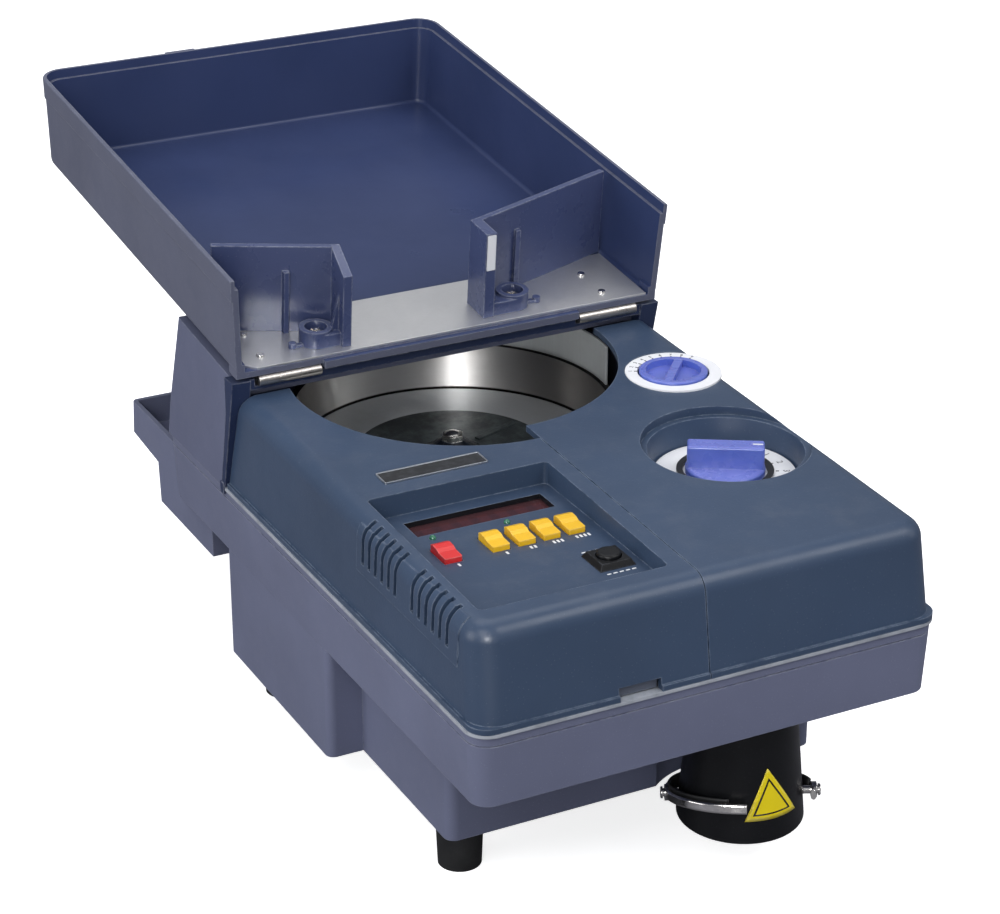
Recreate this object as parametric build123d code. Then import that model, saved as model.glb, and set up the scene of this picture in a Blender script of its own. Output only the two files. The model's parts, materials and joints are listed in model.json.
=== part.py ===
from build123d import *
import math
import os

# Coin sorting machine. Millimetres, +Z up, front of the machine towards -Y.
# Each function below builds one sub-part in the machine's own coordinates;
# the last section writes one STEP file for each of them.

# ---------------------------------------------------------------- driving dimensions
ORIGIN_SHIFT_Y = 0.7        # moves the origin to the centre of the bounding box

# base tub
HALF_W = 110.0              # half width of the rim
FRONT_Y = -248.4
REAR_Y = 86.0
LIP_Z = 109.0               # plane where covers and tower stand on the base
RIM_BOTTOM_Z = 74.8
BELLY_Z = 19.9              # underside of the deep part
BELLY_FRONT_Y = -184.0
BELLY_STEP_Y = -97.8
BELLY_REAR_Y = 17.2
BELLY_HALF_W = 90.6         # front part of the belly
WALL = 3.0
GASKET_T = 1.6
GASKET_END_Y = 9.0
TUB_TOP_Z = LIP_Z - GASKET_T    # the tower stands directly on the tub

# feeder bowl
BOWL_Y = -5.6
BOWL_R = 74.5
RING_T = 1.5
RING_TOP_Z = 134.5
DISC_TOP_Z = 110.5
GUARD_TOP_Z = 154.0
DECK_TOP_Z = 103.0
DECK_T = 3.0
DISC_R = 73.8
HUB_R = 46.5

# covers
COVER_FOOT_HALF_W = 108.3
COVER_TOP_HALF_W = 106.1
COVER_FRONT_FOOT_Y = -247.6
COVER_FRONT_TOP_Y = -240.9
COVER_TOP_FRONT_Z = 152.3
COVER_TOP_SLOPE = 0.027
SEAM_X = -3.1
SEAM_GAP = 0.4
EDGE_R = 9.0
UPRIGHT_R = 12.0
FRAME_FOOT_Y = 8.4          # slanted joint between covers and tower frame
FRAME_TOP_Y = -4.8
FRAME_TOP_Z = 160.0
TOWER_TOP_Z = 165.4
TOWER_FOOT_HALF_W = 109.4
TOWER_TOP_HALF_W = 107.0

# control panel pocket
POCKET = (-97.1, -11.4, -226.4, -121.3)
POCKET_FLOOR_Z = 145.1
WINDOW = (-84.0, -19.0, -143.5, -129.5)
KEYS = [(-58.3, -163.3), (-46.2, -163.3), (-34.5, -163.3), (-22.8, -163.3), (-80.8, -164.1)]
KEY_W, KEY_L = 8.0, 14.4
MOTOR_KEY = (-23.5, -198.5)
KEY_TRAVEL = 1.2
FIT = 0.25                  # side clearance of keys in their openings

# dials
SMALL_DIAL = (84.8, -64.8)
SMALL_DIAL_R = 22.4
SMALL_KNOB_R = 15.9
LARGE_DIAL = (68.0, -139.6)
LARGE_WELL_R = 37.7
LARGE_PLATE_R = 31.6
WELL_FLOOR_Z = 139.6
SHAFT_R = 3.0
RUNNING = 0.05              # radial clearance of turning shafts

# bag tube and ring
TUBE_X, TUBE_Y = 34.7, -214.6
TUBE_BORE_R = 19.0
TUBE_MOUTH_R = 27.7
TUBE_TOP_R = 22.6
TUBE_BOTTOM_Z = 17.6
RING_Z = 27.5               # height of the bag ring's pivot
RING_SLANT = -17.3          # degrees the ring leans about its pivot, front end up
RING_PIVOT_HEADING = -25.0
RING_IN_R = 30.6
RING_OUT_R = 32.8
RING_H = 4.4
RING_LUG_T = 2.2
RING_GAP = (-92.0, -17.0)   # measured from the pivot
PIVOT_R = 1.8
RECESS_R = 39.0             # round recess in the belly that the tube hangs in

# hopper
HINGE_Y, HINGE_Z = -5.6, 165.8
TILT = 5.6                  # degrees the tray slopes down to the front
TRAY_UNDER = 2.8
TRAY_RIM = 52.4
TRAY_HALF_W = 108.0
TRAY_FRONT, TRAY_REAR = -0.7, 254.3
TRAY_FLARE = 2.9            # degrees of draft on the tray walls
TRAY_FLOOR = TRAY_UNDER + 3.0
PLATE_T = 1.0
BAFFLE_TOP = 50.0
BARREL_R = 2.6
PIN_R = 1.2
BARREL = (66.7, 97.4)
KNUCKLE = 10.2

# off-sort box
BOX_HALF_W = 99.0
BOX_FRONT_Y = 57.0
BOX_BOTTOM_Z = 49.0
BOX_FLANGE_Z = 72.6
BOX_TOP_Z = 90.6
BOX_T = 2.4


# ---------------------------------------------------------------- helpers
def block(x0, x1, y0, y1, z0, z1):
    centre = Pos((x0 + x1) / 2, (y0 + y1) / 2, (z0 + z1) / 2)
    return centre * Box(x1 - x0, y1 - y0, z1 - z0)


def rounded_block(x0, x1, y0, y1, z0, z1, r):
    flat = Pos((x0 + x1) / 2, (y0 + y1) / 2, z0) * RectangleRounded(x1 - x0, y1 - y0, r)
    return extrude(flat, z1 - z0)


def rod(x, y, z0, z1, r):
    return Pos(x, y, (z0 + z1) / 2) * Cylinder(r, z1 - z0)


def ring(x, y, z0, z1, r_in, r_out):
    return rod(x, y, z0, z1, r_out) - rod(x, y, z0 - 1, z1 + 1, r_in)


def cone(x, y, z0, z1, r0, r1):
    return Pos(x, y, (z0 + z1) / 2) * Cone(r0, r1, z1 - z0)


def rod_x(x0, x1, y, z, r):
    return Pos((x0 + x1) / 2, y, z) * Rot(0, 90, 0) * Cylinder(r, x1 - x0)


def rod_y(x, y0, y1, z, r):
    return Pos(x, (y0 + y1) / 2, z) * Rot(90, 0, 0) * Cylinder(r, y1 - y0)


def side_profile(points, x0, x1):
    """Extrudes a closed outline of (y, z) points from x0 to x1."""
    face = make_face(Plane.YZ * Polyline(*points, close=True))
    return Pos(x0, 0, 0) * extrude(face, x1 - x0, dir=(1, 0, 0))


def plan_profile(points, z0, z1):
    """Extrudes a closed outline of (x, y) points from z0 to z1."""
    face = make_face(Polyline(*points, close=True))
    return Pos(0, 0, z0) * extrude(face, z1 - z0, dir=(0, 0, 1))


def front_profile(points, y0, y1):
    """Extrudes a closed outline of (x, z) points from y0 to y1."""
    face = make_face(Plane.XZ * Polyline(*points, close=True))
    return Pos(0, y1, 0) * extrude(face, y1 - y0, dir=(0, -1, 0))


def in_tray(shape):
    """Places a shape built around the hinge axis, level, into the tilted tray."""
    return Pos(0, HINGE_Y, HINGE_Z) * Rot(TILT, 0, 0) * shape


def cover_top(y):
    return COVER_TOP_FRONT_Z + COVER_TOP_SLOPE * (y - COVER_FRONT_TOP_Y)


def group(shapes):
    return Compound([s for shape in shapes for s in shape.solids()])


# ---------------------------------------------------------------- base
def rim_body(inset, z0, z1):
    w = HALF_W - 0.8 - inset
    y0, y1 = FRONT_Y + 0.8 + inset, REAR_Y - inset
    top = Pos(0, (y0 + y1) / 2, z1) * RectangleRounded(2 * w, y1 - y0, 10 - inset)
    return extrude(top, z0 - z1, taper=3.0)


def base_tub():
    top = LIP_Z - GASKET_T
    side = HALF_W - 2.6
    tub = rim_body(0, RIM_BOTTOM_Z, top)
    tub += rounded_block(-side, side, BELLY_STEP_Y, BELLY_REAR_Y, BELLY_Z, RIM_BOTTOM_Z + 5, 4)
    belly = rounded_block(-BELLY_HALF_W, BELLY_HALF_W, BELLY_FRONT_Y, BELLY_STEP_Y + 12,
                          BELLY_Z, RIM_BOTTOM_Z, 5)
    tub += belly - rod(TUBE_X, TUBE_Y, BELLY_Z - 1, RIM_BOTTOM_Z + 1, RECESS_R)
    tub -= rim_body(WALL, RIM_BOTTOM_Z + WALL, top)
    tub -= rounded_block(-side + WALL, side - WALL, BELLY_STEP_Y + WALL, BELLY_REAR_Y - WALL,
                         BELLY_Z + WALL, RIM_BOTTOM_Z + 8, 2)
    hollow = rounded_block(-BELLY_HALF_W + WALL, BELLY_HALF_W - WALL, BELLY_FRONT_Y + WALL,
                           BELLY_STEP_Y + 10, BELLY_Z + WALL, RIM_BOTTOM_Z + 8, 3)
    tub -= hollow - rod(TUBE_X, TUBE_Y, BELLY_Z - 1, RIM_BOTTOM_Z + 9, RECESS_R + WALL)
    # parting line round the rim
    groove_z = top - 4.6
    outer = block(-HALF_W - 2, HALF_W + 2, FRONT_Y - 2, REAR_Y + 2, groove_z, groove_z + 0.6)
    inner = rounded_block(-HALF_W + 1.6, HALF_W - 1.6, FRONT_Y + 1.6, REAR_Y - 0.8,
                          groove_z - 1, groove_z + 2, 9)
    tub -= outer - inner
    # openings: bag tube, off-sort chute, mains inlet, power switch
    tub -= rod(TUBE_X, TUBE_Y, RIM_BOTTOM_Z - 1, RIM_BOTTOM_Z + WALL + 1, TUBE_BORE_R + 3.2)
    tub -= block(-45, 45, 59.6, 82.0, RIM_BOTTOM_Z - 1, RIM_BOTTOM_Z + WALL + 1)
    tub -= block(-83, -30, BELLY_REAR_Y - 4, BELLY_REAR_Y + 1, 32, 54)
    # posts that carry the deck
    for x, y in deck_posts():
        tub += ring(x, y, BELLY_Z + WALL - 0.5 if y > BELLY_FRONT_Y + 8 and y < BELLY_REAR_Y
                    else RIM_BOTTOM_Z + WALL - 0.5, DECK_TOP_Z - DECK_T, 1.3, 4.0)
    return tub


def deck_posts():
    return [(-80, -172), (80, -172), (-96, 70), (96, 70), (-96, -90), (96, -90)]


def lip_gasket():
    """Strip between the tub's rim and the covers, open towards the tower."""
    z0 = LIP_Z - GASKET_T
    outer = rounded_block(-HALF_W, HALF_W, FRONT_Y, 60, z0, LIP_Z, 10.5)
    inner = rounded_block(-HALF_W + 7, HALF_W - 7, FRONT_Y + 7, 70, z0 - 1, LIP_Z + 1, 5)
    return (outer - inner) - block(-HALF_W - 1, HALF_W + 1, GASKET_END_Y, 80, z0 - 1, LIP_Z + 1)


def foot(x, y, base_z):
    body = cone(x, y, 0, base_z, 9.6, 10.4)
    body -= rod(x, y, -1, 3, 4.5)
    return body + rod(x, y, base_z, base_z + 3, 3.4)


FRONT_FEET = [(-78.5, -170.0), (78.5, -170.0)]
REAR_FEET = [(-86.0, 2.0), (86.0, 2.0)]


def rubber_feet():
    return group([foot(x, y, BELLY_Z) for x, y in FRONT_FEET + REAR_FEET])


def drill_feet(tub):
    for x, y in FRONT_FEET + REAR_FEET:
        tub -= rod(x, y, BELLY_Z - 1, BELLY_Z + WALL + 1, 3.5)
    return tub


# ---------------------------------------------------------------- deck and feeder
def deck_plate():
    deck = rounded_block(-102, 102, -238, 78, DECK_TOP_Z - DECK_T, DECK_TOP_Z, 6)
    deck -= rod(0, BOWL_Y, DECK_TOP_Z - 5, DECK_TOP_Z + 1, 13.2)
    deck -= rod(TUBE_X, TUBE_Y, DECK_TOP_Z - 5, DECK_TOP_Z + 1, TUBE_BORE_R + 3.2)
    deck -= block(-40, 40, 59, 74, DECK_TOP_Z - 5, DECK_TOP_Z + 1)
    for x, y in deck_posts():
        deck -= rod(x, y, DECK_TOP_Z - 5, DECK_TOP_Z + 1, 2.2)
    return deck


def deck_screws():
    screws = []
    for x, y in deck_posts():
        screw = rod(x, y, DECK_TOP_Z - 12, DECK_TOP_Z, 1.25)
        head = rod(x, y, DECK_TOP_Z, DECK_TOP_Z + 2.2, 3.6)
        head -= Pos(x, y, DECK_TOP_Z + 1.8) * Box(5.0, 0.9, 1.2)
        head -= Pos(x, y, DECK_TOP_Z + 1.8) * Box(0.9, 5.0, 1.2)
        screws.append(screw + head)
    return group(screws)


EXIT_ANGLE = -58            # direction in which coins leave the bowl


def bowl_ring():
    body = ring(0, BOWL_Y, DECK_TOP_Z, RING_TOP_Z, BOWL_R, BOWL_R + RING_T)
    body += ring(0, BOWL_Y, RING_TOP_Z - 1.2, RING_TOP_Z, BOWL_R, BOWL_R + 3.2)
    gate = Pos(0, BOWL_Y, 0) * Rot(0, 0, EXIT_ANGLE) * Pos(BOWL_R, 0, 113.0) * Box(14, 38, 7)
    return body - gate


def bowl_guard():
    """Sheet wall above the ring on the operator's right and towards the tower."""
    sheet = ring(0, BOWL_Y, RING_TOP_Z, GUARD_TOP_Z, BOWL_R + 1.7, BOWL_R + 2.7)
    wedge = [(0, BOWL_Y)]
    for angle in (110, 150, 190, 230, 270, 310, 350.4):
        a = math.radians(angle)
        wedge.append((140 * math.cos(a), BOWL_Y + 140 * math.sin(a)))
    return sheet - plan_profile(wedge, RING_TOP_Z - 1, GUARD_TOP_Z + 1)


def feed_disc():
    disc = rod(0, BOWL_Y, 105.0, DISC_TOP_Z, DISC_R)
    disc -= rod(0, BOWL_Y, DISC_TOP_Z - 1.6, DISC_TOP_Z + 1, HUB_R)
    disc -= rod(0, BOWL_Y, 100, DISC_TOP_Z + 1, 6.0)
    return chamfer(disc.edges().filter_by(GeomType.CIRCLE).group_by(Axis.Z)[-1][-1:], 0.5)


def disc_mat():
    mat = ring(0, BOWL_Y, DISC_TOP_Z - 1.6, DISC_TOP_Z + 0.3, 6.0, HUB_R - 0.1)
    for i in range(3):
        pad = Pos(0, BOWL_Y, 0) * Rot(0, 0, 120 * i + 20) * Pos(30, 0, DISC_TOP_Z + 0.6)
        mat += pad * Box(26, 3.0, 1.0)
    return mat


def disc_hub():
    hub = cone(0, BOWL_Y, DISC_TOP_Z + 0.3, DISC_TOP_Z + 6.3, 14.5, 5.4)
    return hub - rod(0, BOWL_Y, DISC_TOP_Z, DISC_TOP_Z + 8, 4.4)


def hub_cap():
    """Conical washer and the domed nut that holds it."""
    z = DISC_TOP_Z + 6.3
    nut = Pos(0, BOWL_Y, z) * extrude(RegularPolygon(5.4, 6), 2.6)
    dome = Pos(0, BOWL_Y, z - 2.3) * Sphere(6.5)
    dome -= block(-9, 9, BOWL_Y - 9, BOWL_Y + 9, z - 12, z + 2.5)
    nut = (nut + dome) - rod(0, BOWL_Y, z - 1, z + 2.9, 4.2)
    return group([disc_hub(), nut])


def disc_shaft():
    shaft = rod(0, BOWL_Y, 76.0, DISC_TOP_Z, 5.9)
    return shaft + rod(0, BOWL_Y, DISC_TOP_Z - 0.5, DISC_TOP_Z + 9.0, 4.1)


def disc_bearing():
    body = ring(0, BOWL_Y, 90.5, DECK_TOP_Z + 0.6, 5.9 + RUNNING, 13.0)
    return body + ring(0, BOWL_Y, 97.0, DECK_TOP_Z - DECK_T, 13.0, 21.0)


def pulley(x, y, z0, z1, r, bore):
    mid = (z0 + z1) / 2
    body = rod(x, y, z0, z1, r)
    body -= ring(x, y, mid - 3.1, mid + 3.1, r - 1.6, r + 2)
    return body - rod(x, y, z0 - 1, z1 + 1, bore)


MOTOR_X, MOTOR_Y = -52.0, -70.0
DISC_PULLEY_R, MOTOR_PULLEY_R = 36.0, 12.0
BELT_Z0, BELT_Z1 = 78.6, 88.6


def disc_pulley():
    body = pulley(0, BOWL_Y, BELT_Z0, BELT_Z1, DISC_PULLEY_R, 5.92)
    for i in range(5):
        body -= Pos(0, BOWL_Y, 0) * Rot(0, 0, 72 * i) * Pos(20, 0, 83) * Cylinder(6, 20)
    return body


def motor_pulley():
    body = pulley(MOTOR_X, MOTOR_Y, BELT_Z0, BELT_Z1, MOTOR_PULLEY_R, 2.0)
    return body + rod(MOTOR_X, MOTOR_Y, 66.0, 92.0, 2.5)


def drive_belt():
    """Flat loop round both pulleys, clear of their faces by a working gap."""
    gap, thick = 0.3, 1.0
    mid = (BELT_Z0 + BELT_Z1) / 2
    r0, r1 = DISC_PULLEY_R - 1.6 + gap, MOTOR_PULLEY_R - 1.6 + gap

    def loop(extra):
        a, b = r0 + extra, r1 + extra
        dx, dy = MOTOR_X, MOTOR_Y - BOWL_Y
        dist = math.hypot(dx, dy)
        lean = math.acos((a - b) / dist)
        heading = math.atan2(dy, dx)
        quad = []
        for sign in (1, -1):
            t = heading + sign * lean
            quad.append(((a * math.cos(t), BOWL_Y + a * math.sin(t)),
                         (MOTOR_X + b * math.cos(t), MOTOR_Y + b * math.sin(t))))
        outline = [quad[0][0], quad[0][1], quad[1][1], quad[1][0]]
        body = plan_profile(outline, mid - 2.8, mid + 2.8)
        body += rod(0, BOWL_Y, mid - 2.8, mid + 2.8, a)
        return body + rod(MOTOR_X, MOTOR_Y, mid - 2.8, mid + 2.8, b)

    return loop(thick) - loop(0)


def drive_motor():
    floor = BELLY_Z + WALL
    body = rod(MOTOR_X, MOTOR_Y, floor + 4, 70.0, 25.0)
    body += rod(MOTOR_X, MOTOR_Y, 70.0, 74.0, 9.0)
    body += rounded_block(MOTOR_X - 30, MOTOR_X + 30, MOTOR_Y - 24, MOTOR_Y + 24,
                          floor, floor + 4, 4)
    for i in range(12):
        fin = Pos(MOTOR_X, MOTOR_Y, 0) * Rot(0, 0, 30 * i) * Pos(25.2, 0, 48) * Box(2.4, 2.0, 36)
        body += fin
    return body - rod(MOTOR_X, MOTOR_Y, 60, 80, 2.5 + RUNNING)


# ---------------------------------------------------------------- coin rail under the covers
def coin_rail():
    """Track that carries coins from the bowl to the tube, with its fixed fence."""
    body = block(14, 58, -232, -88, DECK_TOP_Z, DECK_TOP_Z + 5)
    body += block(14, 19, -200, -90, DECK_TOP_Z + 4, DECK_TOP_Z + 11)
    body -= rod(0, BOWL_Y, DECK_TOP_Z - 1, DECK_TOP_Z + 6, BOWL_R + 3.6)
    return body - rod(TUBE_X, TUBE_Y, DECK_TOP_Z - 1, DECK_TOP_Z + 6, 16.0)


CAM_Z = (121.0, 125.0)
CAM_RISE = 8.0              # rise of the diameter cam over the knob's range
CAM_RANGE = 280.0
CAM_R0 = 11.0
CAM_HEADING = 180.0         # direction from the knob's shaft to the follower


def cam_radius(angle):
    return CAM_R0 + CAM_RISE * angle / CAM_RANGE


def diameter_guide():
    """Sliding jaw of the coin channel with a follower peg that rides on the cam."""
    x_peg = LARGE_DIAL[0] - cam_radius(CAM_RANGE / 2) - 2.3
    body = block(45, 52, -196, -96, DECK_TOP_Z + 5.1, DECK_TOP_Z + 10)
    body += block(45, 58, LARGE_DIAL[1] - 9, LARGE_DIAL[1] + 9, DECK_TOP_Z + 10, DECK_TOP_Z + 13)
    return body + rod(x_peg, LARGE_DIAL[1], DECK_TOP_Z + 12, CAM_Z[1], 2.0)


def diameter_cam():
    """Spiral cam on the large knob's shaft; its radius grows evenly with angle."""
    x, y = LARGE_DIAL
    points = []
    steps = 14
    for i in range(steps + 1):
        turn = CAM_RANGE * i / steps
        a = math.radians(CAM_HEADING + turn - CAM_RANGE / 2)
        r = cam_radius(turn)
        points.append((x + r * math.cos(a), y + r * math.sin(a)))
    edge = Spline(*points)
    closing = Line(points[-1], points[0])
    body = Pos(0, 0, CAM_Z[0]) * extrude(make_face(edge + closing), CAM_Z[1] - CAM_Z[0],
                                         dir=(0, 0, 1))
    body += rod(x, y, CAM_Z[0] - 3, CAM_Z[1] + 3, 6.0)
    return body - rod(x, y, CAM_Z[0] - 5, CAM_Z[1] + 5, SHAFT_R + 0.02)


def belt_roller(y):
    return rod_x(28.0, 38.0, y, ROLLER_Z, 8.0) + rod_x(20.0, 44.0, y, ROLLER_Z, 1.98)


ROLLER_REAR_Y, ROLLER_FRONT_Y = -104.0, -186.0
ROLLER_Z = 126.4


def rear_roller():
    return belt_roller(ROLLER_REAR_Y)


def front_roller():
    return belt_roller(ROLLER_FRONT_Y)


def transport_belt():
    def loop(r, x0, x1):
        body = rod_x(x0, x1, ROLLER_REAR_Y, ROLLER_Z, r) + rod_x(x0, x1, ROLLER_FRONT_Y, ROLLER_Z, r)
        return body + block(x0, x1, ROLLER_FRONT_Y, ROLLER_REAR_Y, ROLLER_Z - r, ROLLER_Z + r)
    return loop(9.6, 29.0, 37.0) - loop(8.2, 28.0, 38.0)


def belt_bracket():
    """Two cheeks and a bridge that carry the transport belt's rollers."""
    cheeks = block(20.5, 23.5, -196, -94, 118, 135) + block(40.5, 43.5, -196, -94, 118, 135)
    cheeks += block(20.5, 43.5, -102, -95, 137.2, 140.2)
    cheeks += block(20.5, 23.5, -102, -95, 134, 140.2) + block(40.5, 43.5, -102, -95, 134, 140.2)
    cheeks += block(20.5, 23.5, -152, -136, DECK_TOP_Z + 11, 120)
    cheeks += block(12.0, 23.5, -152, -136, DECK_TOP_Z + 11, DECK_TOP_Z + 13)
    for y in (ROLLER_REAR_Y, ROLLER_FRONT_Y):
        cheeks -= rod_x(19, 45, y, ROLLER_Z, 1.98 + RUNNING)
    return cheeks


def counting_sensor():
    body = rounded_block(2, 13.5, -205, -185, DECK_TOP_Z, DECK_TOP_Z + 16, 1.5)
    return body + block(13, 20, -199, -191, DECK_TOP_Z + 12, DECK_TOP_Z + 16)


# ---------------------------------------------------------------- covers
def cover_block(inset):
    """Closed block with the outer form of both covers, shrunk by inset."""
    foot_w, top_w = COVER_FOOT_HALF_W - inset, COVER_TOP_HALF_W - inset
    y_foot, y_top = COVER_FRONT_FOOT_Y + inset, COVER_FRONT_TOP_Y + inset
    drop = inset if inset else 0
    rear_slope = (FRAME_TOP_Y - FRAME_FOOT_Y) / (FRAME_TOP_Z - LIP_Z)
    gap = 0.3
    z_rear = cover_top(FRAME_TOP_Y) - drop
    y_rear_top = FRAME_FOOT_Y + rear_slope * (z_rear - LIP_Z) - gap
    outline = [(y_foot, LIP_Z), (y_top, cover_top(y_top) - drop), (y_rear_top, z_rear),
               (FRAME_FOOT_Y - gap, LIP_Z)]
    body = side_profile(outline, -foot_w, foot_w)
    height = 60.0
    lean = (foot_w - top_w) * height / (z_rear - LIP_Z)
    trim = [(-foot_w, LIP_Z - 0.0), (-foot_w + lean, LIP_Z + height),
            (foot_w - lean, LIP_Z + height), (foot_w, LIP_Z)]
    face = make_face(Plane.XZ * Polyline(*trim, close=True))
    body &= Pos(0, 60, 0) * extrude(face, 400, dir=(0, -1, 0))
    upright = body.edges().filter_by(lambda e: e.center().Y < -235 and 115 < e.center().Z < 145
                                     and e.length > 20)
    body = fillet(upright, UPRIGHT_R - inset)
    crown = body.edges().filter_by(lambda e: e.center().Z > 147 and e.center().Y < -9
                                   and e.length > 5)
    return fillet(crown, EDGE_R - inset)


def cover_half(left):
    shell = cover_block(0) - cover_block(WALL)
    # thickened foot that stands on the gasket
    flange = rounded_block(-HALF_W + 0.6, HALF_W - 0.6, FRONT_Y + 0.1, 20, LIP_Z, LIP_Z + 2.6, 9)
    flange -= block(-HALF_W, HALF_W, 7.2, 30, LIP_Z - 1, LIP_Z + 4)
    flange -= rounded_block(-HALF_W + 4.0, HALF_W - 4.0, FRONT_Y + 4.0, 40, LIP_Z - 1, LIP_Z + 4, 6)
    shell += flange
    if left:
        keep = block(-140, SEAM_X - SEAM_GAP / 2, -300, 60, 100, 180)
        opening = rod(-3.1, -19.7, 100, 180, 80.1)
    else:
        keep = block(SEAM_X + SEAM_GAP / 2, 140, -300, 60, 100, 180)
        opening = rod(-1.7, -8.2, 100, 180, 77.8)
    return (shell & keep) - opening


def left_cover():
    body = cover_half(True)
    x0, x1, y0, y1 = POCKET
    box = rounded_block(x0 - WALL, x1 + WALL, y0 - WALL, y1 + WALL, POCKET_FLOOR_Z - 2.5, 170, 4)
    body += box & cover_block(0.05)
    body -= rounded_block(x0, x1, y0, y1, POCKET_FLOOR_Z, 175, 2.5)
    # display window, keys and indicator lamps
    wx0, wx1, wy0, wy1 = WINDOW
    body -= block(wx0, wx1, wy0, wy1, POCKET_FLOOR_Z - 4, POCKET_FLOOR_Z + 1)
    for x, y in KEYS:
        body -= Pos(x, y, POCKET_FLOOR_Z) * Box(KEY_W + 2 * FIT, KEY_L + 2 * FIT, 8)
    body -= Pos(MOTOR_KEY[0], MOTOR_KEY[1], POCKET_FLOOR_Z) * Cylinder(5.3 + FIT, 8)
    for x, y in LAMPS:
        body -= rod(x, y, POCKET_FLOOR_Z - 5, POCKET_FLOOR_Z + 1, 1.5)
    # raised pad on the side with two groups of cooling slots
    skin = cover_block(-0.45) - cover_block(0.5)
    body += skin & block(-120, -100, -228, -133, 131, 152)
    for first, last in VENTS:
        for i in range(6):
            y = first + (last - first) * i / 5
            body -= block(-115, -100.6, y - 1.3, y + 1.3, 135.6, 170)
    # latch mouth
    body -= block(-45.0, -25.6, -252, -236, LIP_Z - 1, LIP_Z + 5.6)
    return body


LAMPS = ((-79.0, -147.6), (-44.6, -148.4))
VENTS = ((-170.6, -139.2), (-218.6, -186.6))


def right_cover():
    body = cover_half(False)
    x, y = LARGE_DIAL
    top = cover_top(y)
    well = rod(x, y, WELL_FLOOR_Z - 2.5, 170, LARGE_WELL_R + 2.5) & cover_block(0.05)
    body += well
    body -= rod(x, y, top - 3.2, 175, LARGE_WELL_R)
    body -= cone(x, y, WELL_FLOOR_Z, top - 3.2, 32.4, 34.8)
    body -= rod(x, y, 100, 160, SHAFT_R + RUNNING)
    # boss under the small dial, with a well for its knob
    sx, sy = SMALL_DIAL
    z = cover_top(sy)
    body += rod(sx, sy, z - 8, z - 0.9, SMALL_DIAL_R - 0.3) & block(0, 106.6, -100, -20, 100, 170)
    body -= rod(sx, sy, z - 0.9, 175, SMALL_DIAL_R + 0.15)
    body -= rod(sx, sy, z - 5.0, 175, SMALL_KNOB_R + 0.8)
    return body - rod(sx, sy, 100, 170, SHAFT_R + RUNNING)


def cover_latch():
    body = block(-44.2, -26.4, -244.6, -241.4, LIP_Z + 0.6, LIP_Z + 4.8)
    return body + block(-40, -30, -241.4, -232.4, LIP_Z + 0.6, LIP_Z + 2.6)


def name_plate():
    angle = math.degrees(math.atan(COVER_TOP_SLOPE))
    y = -106.6
    plate = extrude(RectangleRounded(49.2, 10.3, 0.8), 0.8)
    rim = plate - Pos(0, 0, 0.5) * extrude(Rectangle(48.2, 9.3), 1)
    return Pos(-59.3, y, cover_top(y) + 0.02) * Rot(angle, 0, 0) * rim


# ---------------------------------------------------------------- control panel
def display_window():
    x0, x1, y0, y1 = WINDOW
    return block(x0 - 1.5, x1 + 1.5, y0 - 1.5, y1 + 1.5, POCKET_FLOOR_Z - 3.7, POCKET_FLOOR_Z - 2.5)


def key_cap(x, y):
    """Stepped key: a raised, crowned rear half and a lower front half."""
    z = POCKET_FLOOR_Z
    w, l = KEY_W / 2, KEY_L / 2
    outline = [(y - l, z - 3.6), (y - l, z + 2.2), (y - 0.8, z + 2.4), (y + 1.2, z + 3.3),
               (y + l - 2.4, z + 3.5), (y + l, z + 2.7), (y + l, z - 3.6)]
    cap = side_profile(outline, x - w, x + w)
    return fillet(cap.edges().filter_by(Axis.Z), 0.8)


def reset_key():
    return key_cap(*KEYS[-1])


def motor_key_frame():
    x, y = MOTOR_KEY
    z = POCKET_FLOOR_Z
    bottom = Pos(x, y, z) * Rectangle(16.8, 16.8)
    body = extrude(bottom, 2.6, taper=32)
    return body - rod(x, y, z - 1, z + 5, 5.3 + FIT)


def motor_key():
    x, y = MOTOR_KEY
    z = POCKET_FLOOR_Z
    body = rod(x, y, z - 4.0, z + 4.4, 5.2)
    return fillet(body.edges().group_by(Axis.Z)[-1], 1.2)


def status_lamps():
    lamps = []
    for x, y in LAMPS:
        stem = rod(x, y, POCKET_FLOOR_Z - 5, POCKET_FLOOR_Z + 0.2, 1.45)
        dome = Pos(x, y, POCKET_FLOOR_Z + 0.2) * Sphere(1.45)
        lamps.append(stem + dome)
    return group(lamps)


def display_board():
    """Board under the panel with the digit block and one switch under each key."""
    z = POCKET_FLOOR_Z - 10.0
    x0, x1 = POCKET[0] + 2, POCKET[1] - 2
    board = block(x0, x1, POCKET[2] + 8, POCKET[3] - 1, z, z + 1.6)
    wx0, wx1, wy0, wy1 = WINDOW
    board += block(wx0 + 3, wx1 - 3, wy0 + 1, wy1 - 1, z + 1, z + 6.1)
    for x, y in KEYS + [MOTOR_KEY]:
        board += block(x - 3, x + 3, y - 3, y + 3, z + 1, z + 4.0)
    return board


def control_board():
    board = block(-74, -14, -170, -112, 31.0, 32.6)
    for x, y in ((-70, -166), (-18, -166), (-70, -116), (-18, -116)):
        board += rod(x, y, BELLY_Z + WALL, 31.0, 3.0)
    board += block(-60, -42, -160, -142, 32.0, 36.0) + block(-36, -21, -156, -136, 32.0, 38.0)
    return board + rod(-64, -130, 32.0, 48.0, 6.0) + rod(-48, -127, 32.0, 44.0, 4.0)


def transformer():
    """Laminated core with its foot plate and the two exposed ends of the winding."""
    core = block(20, 78, -160, -114, BELLY_Z + WALL + 3, 62)
    core += block(12, 86, -152, -122, BELLY_Z + WALL, BELLY_Z + WALL + 3)
    winding = rounded_block(30, 68, -167, -107, 30, 55, 3)
    return core + winding


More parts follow.
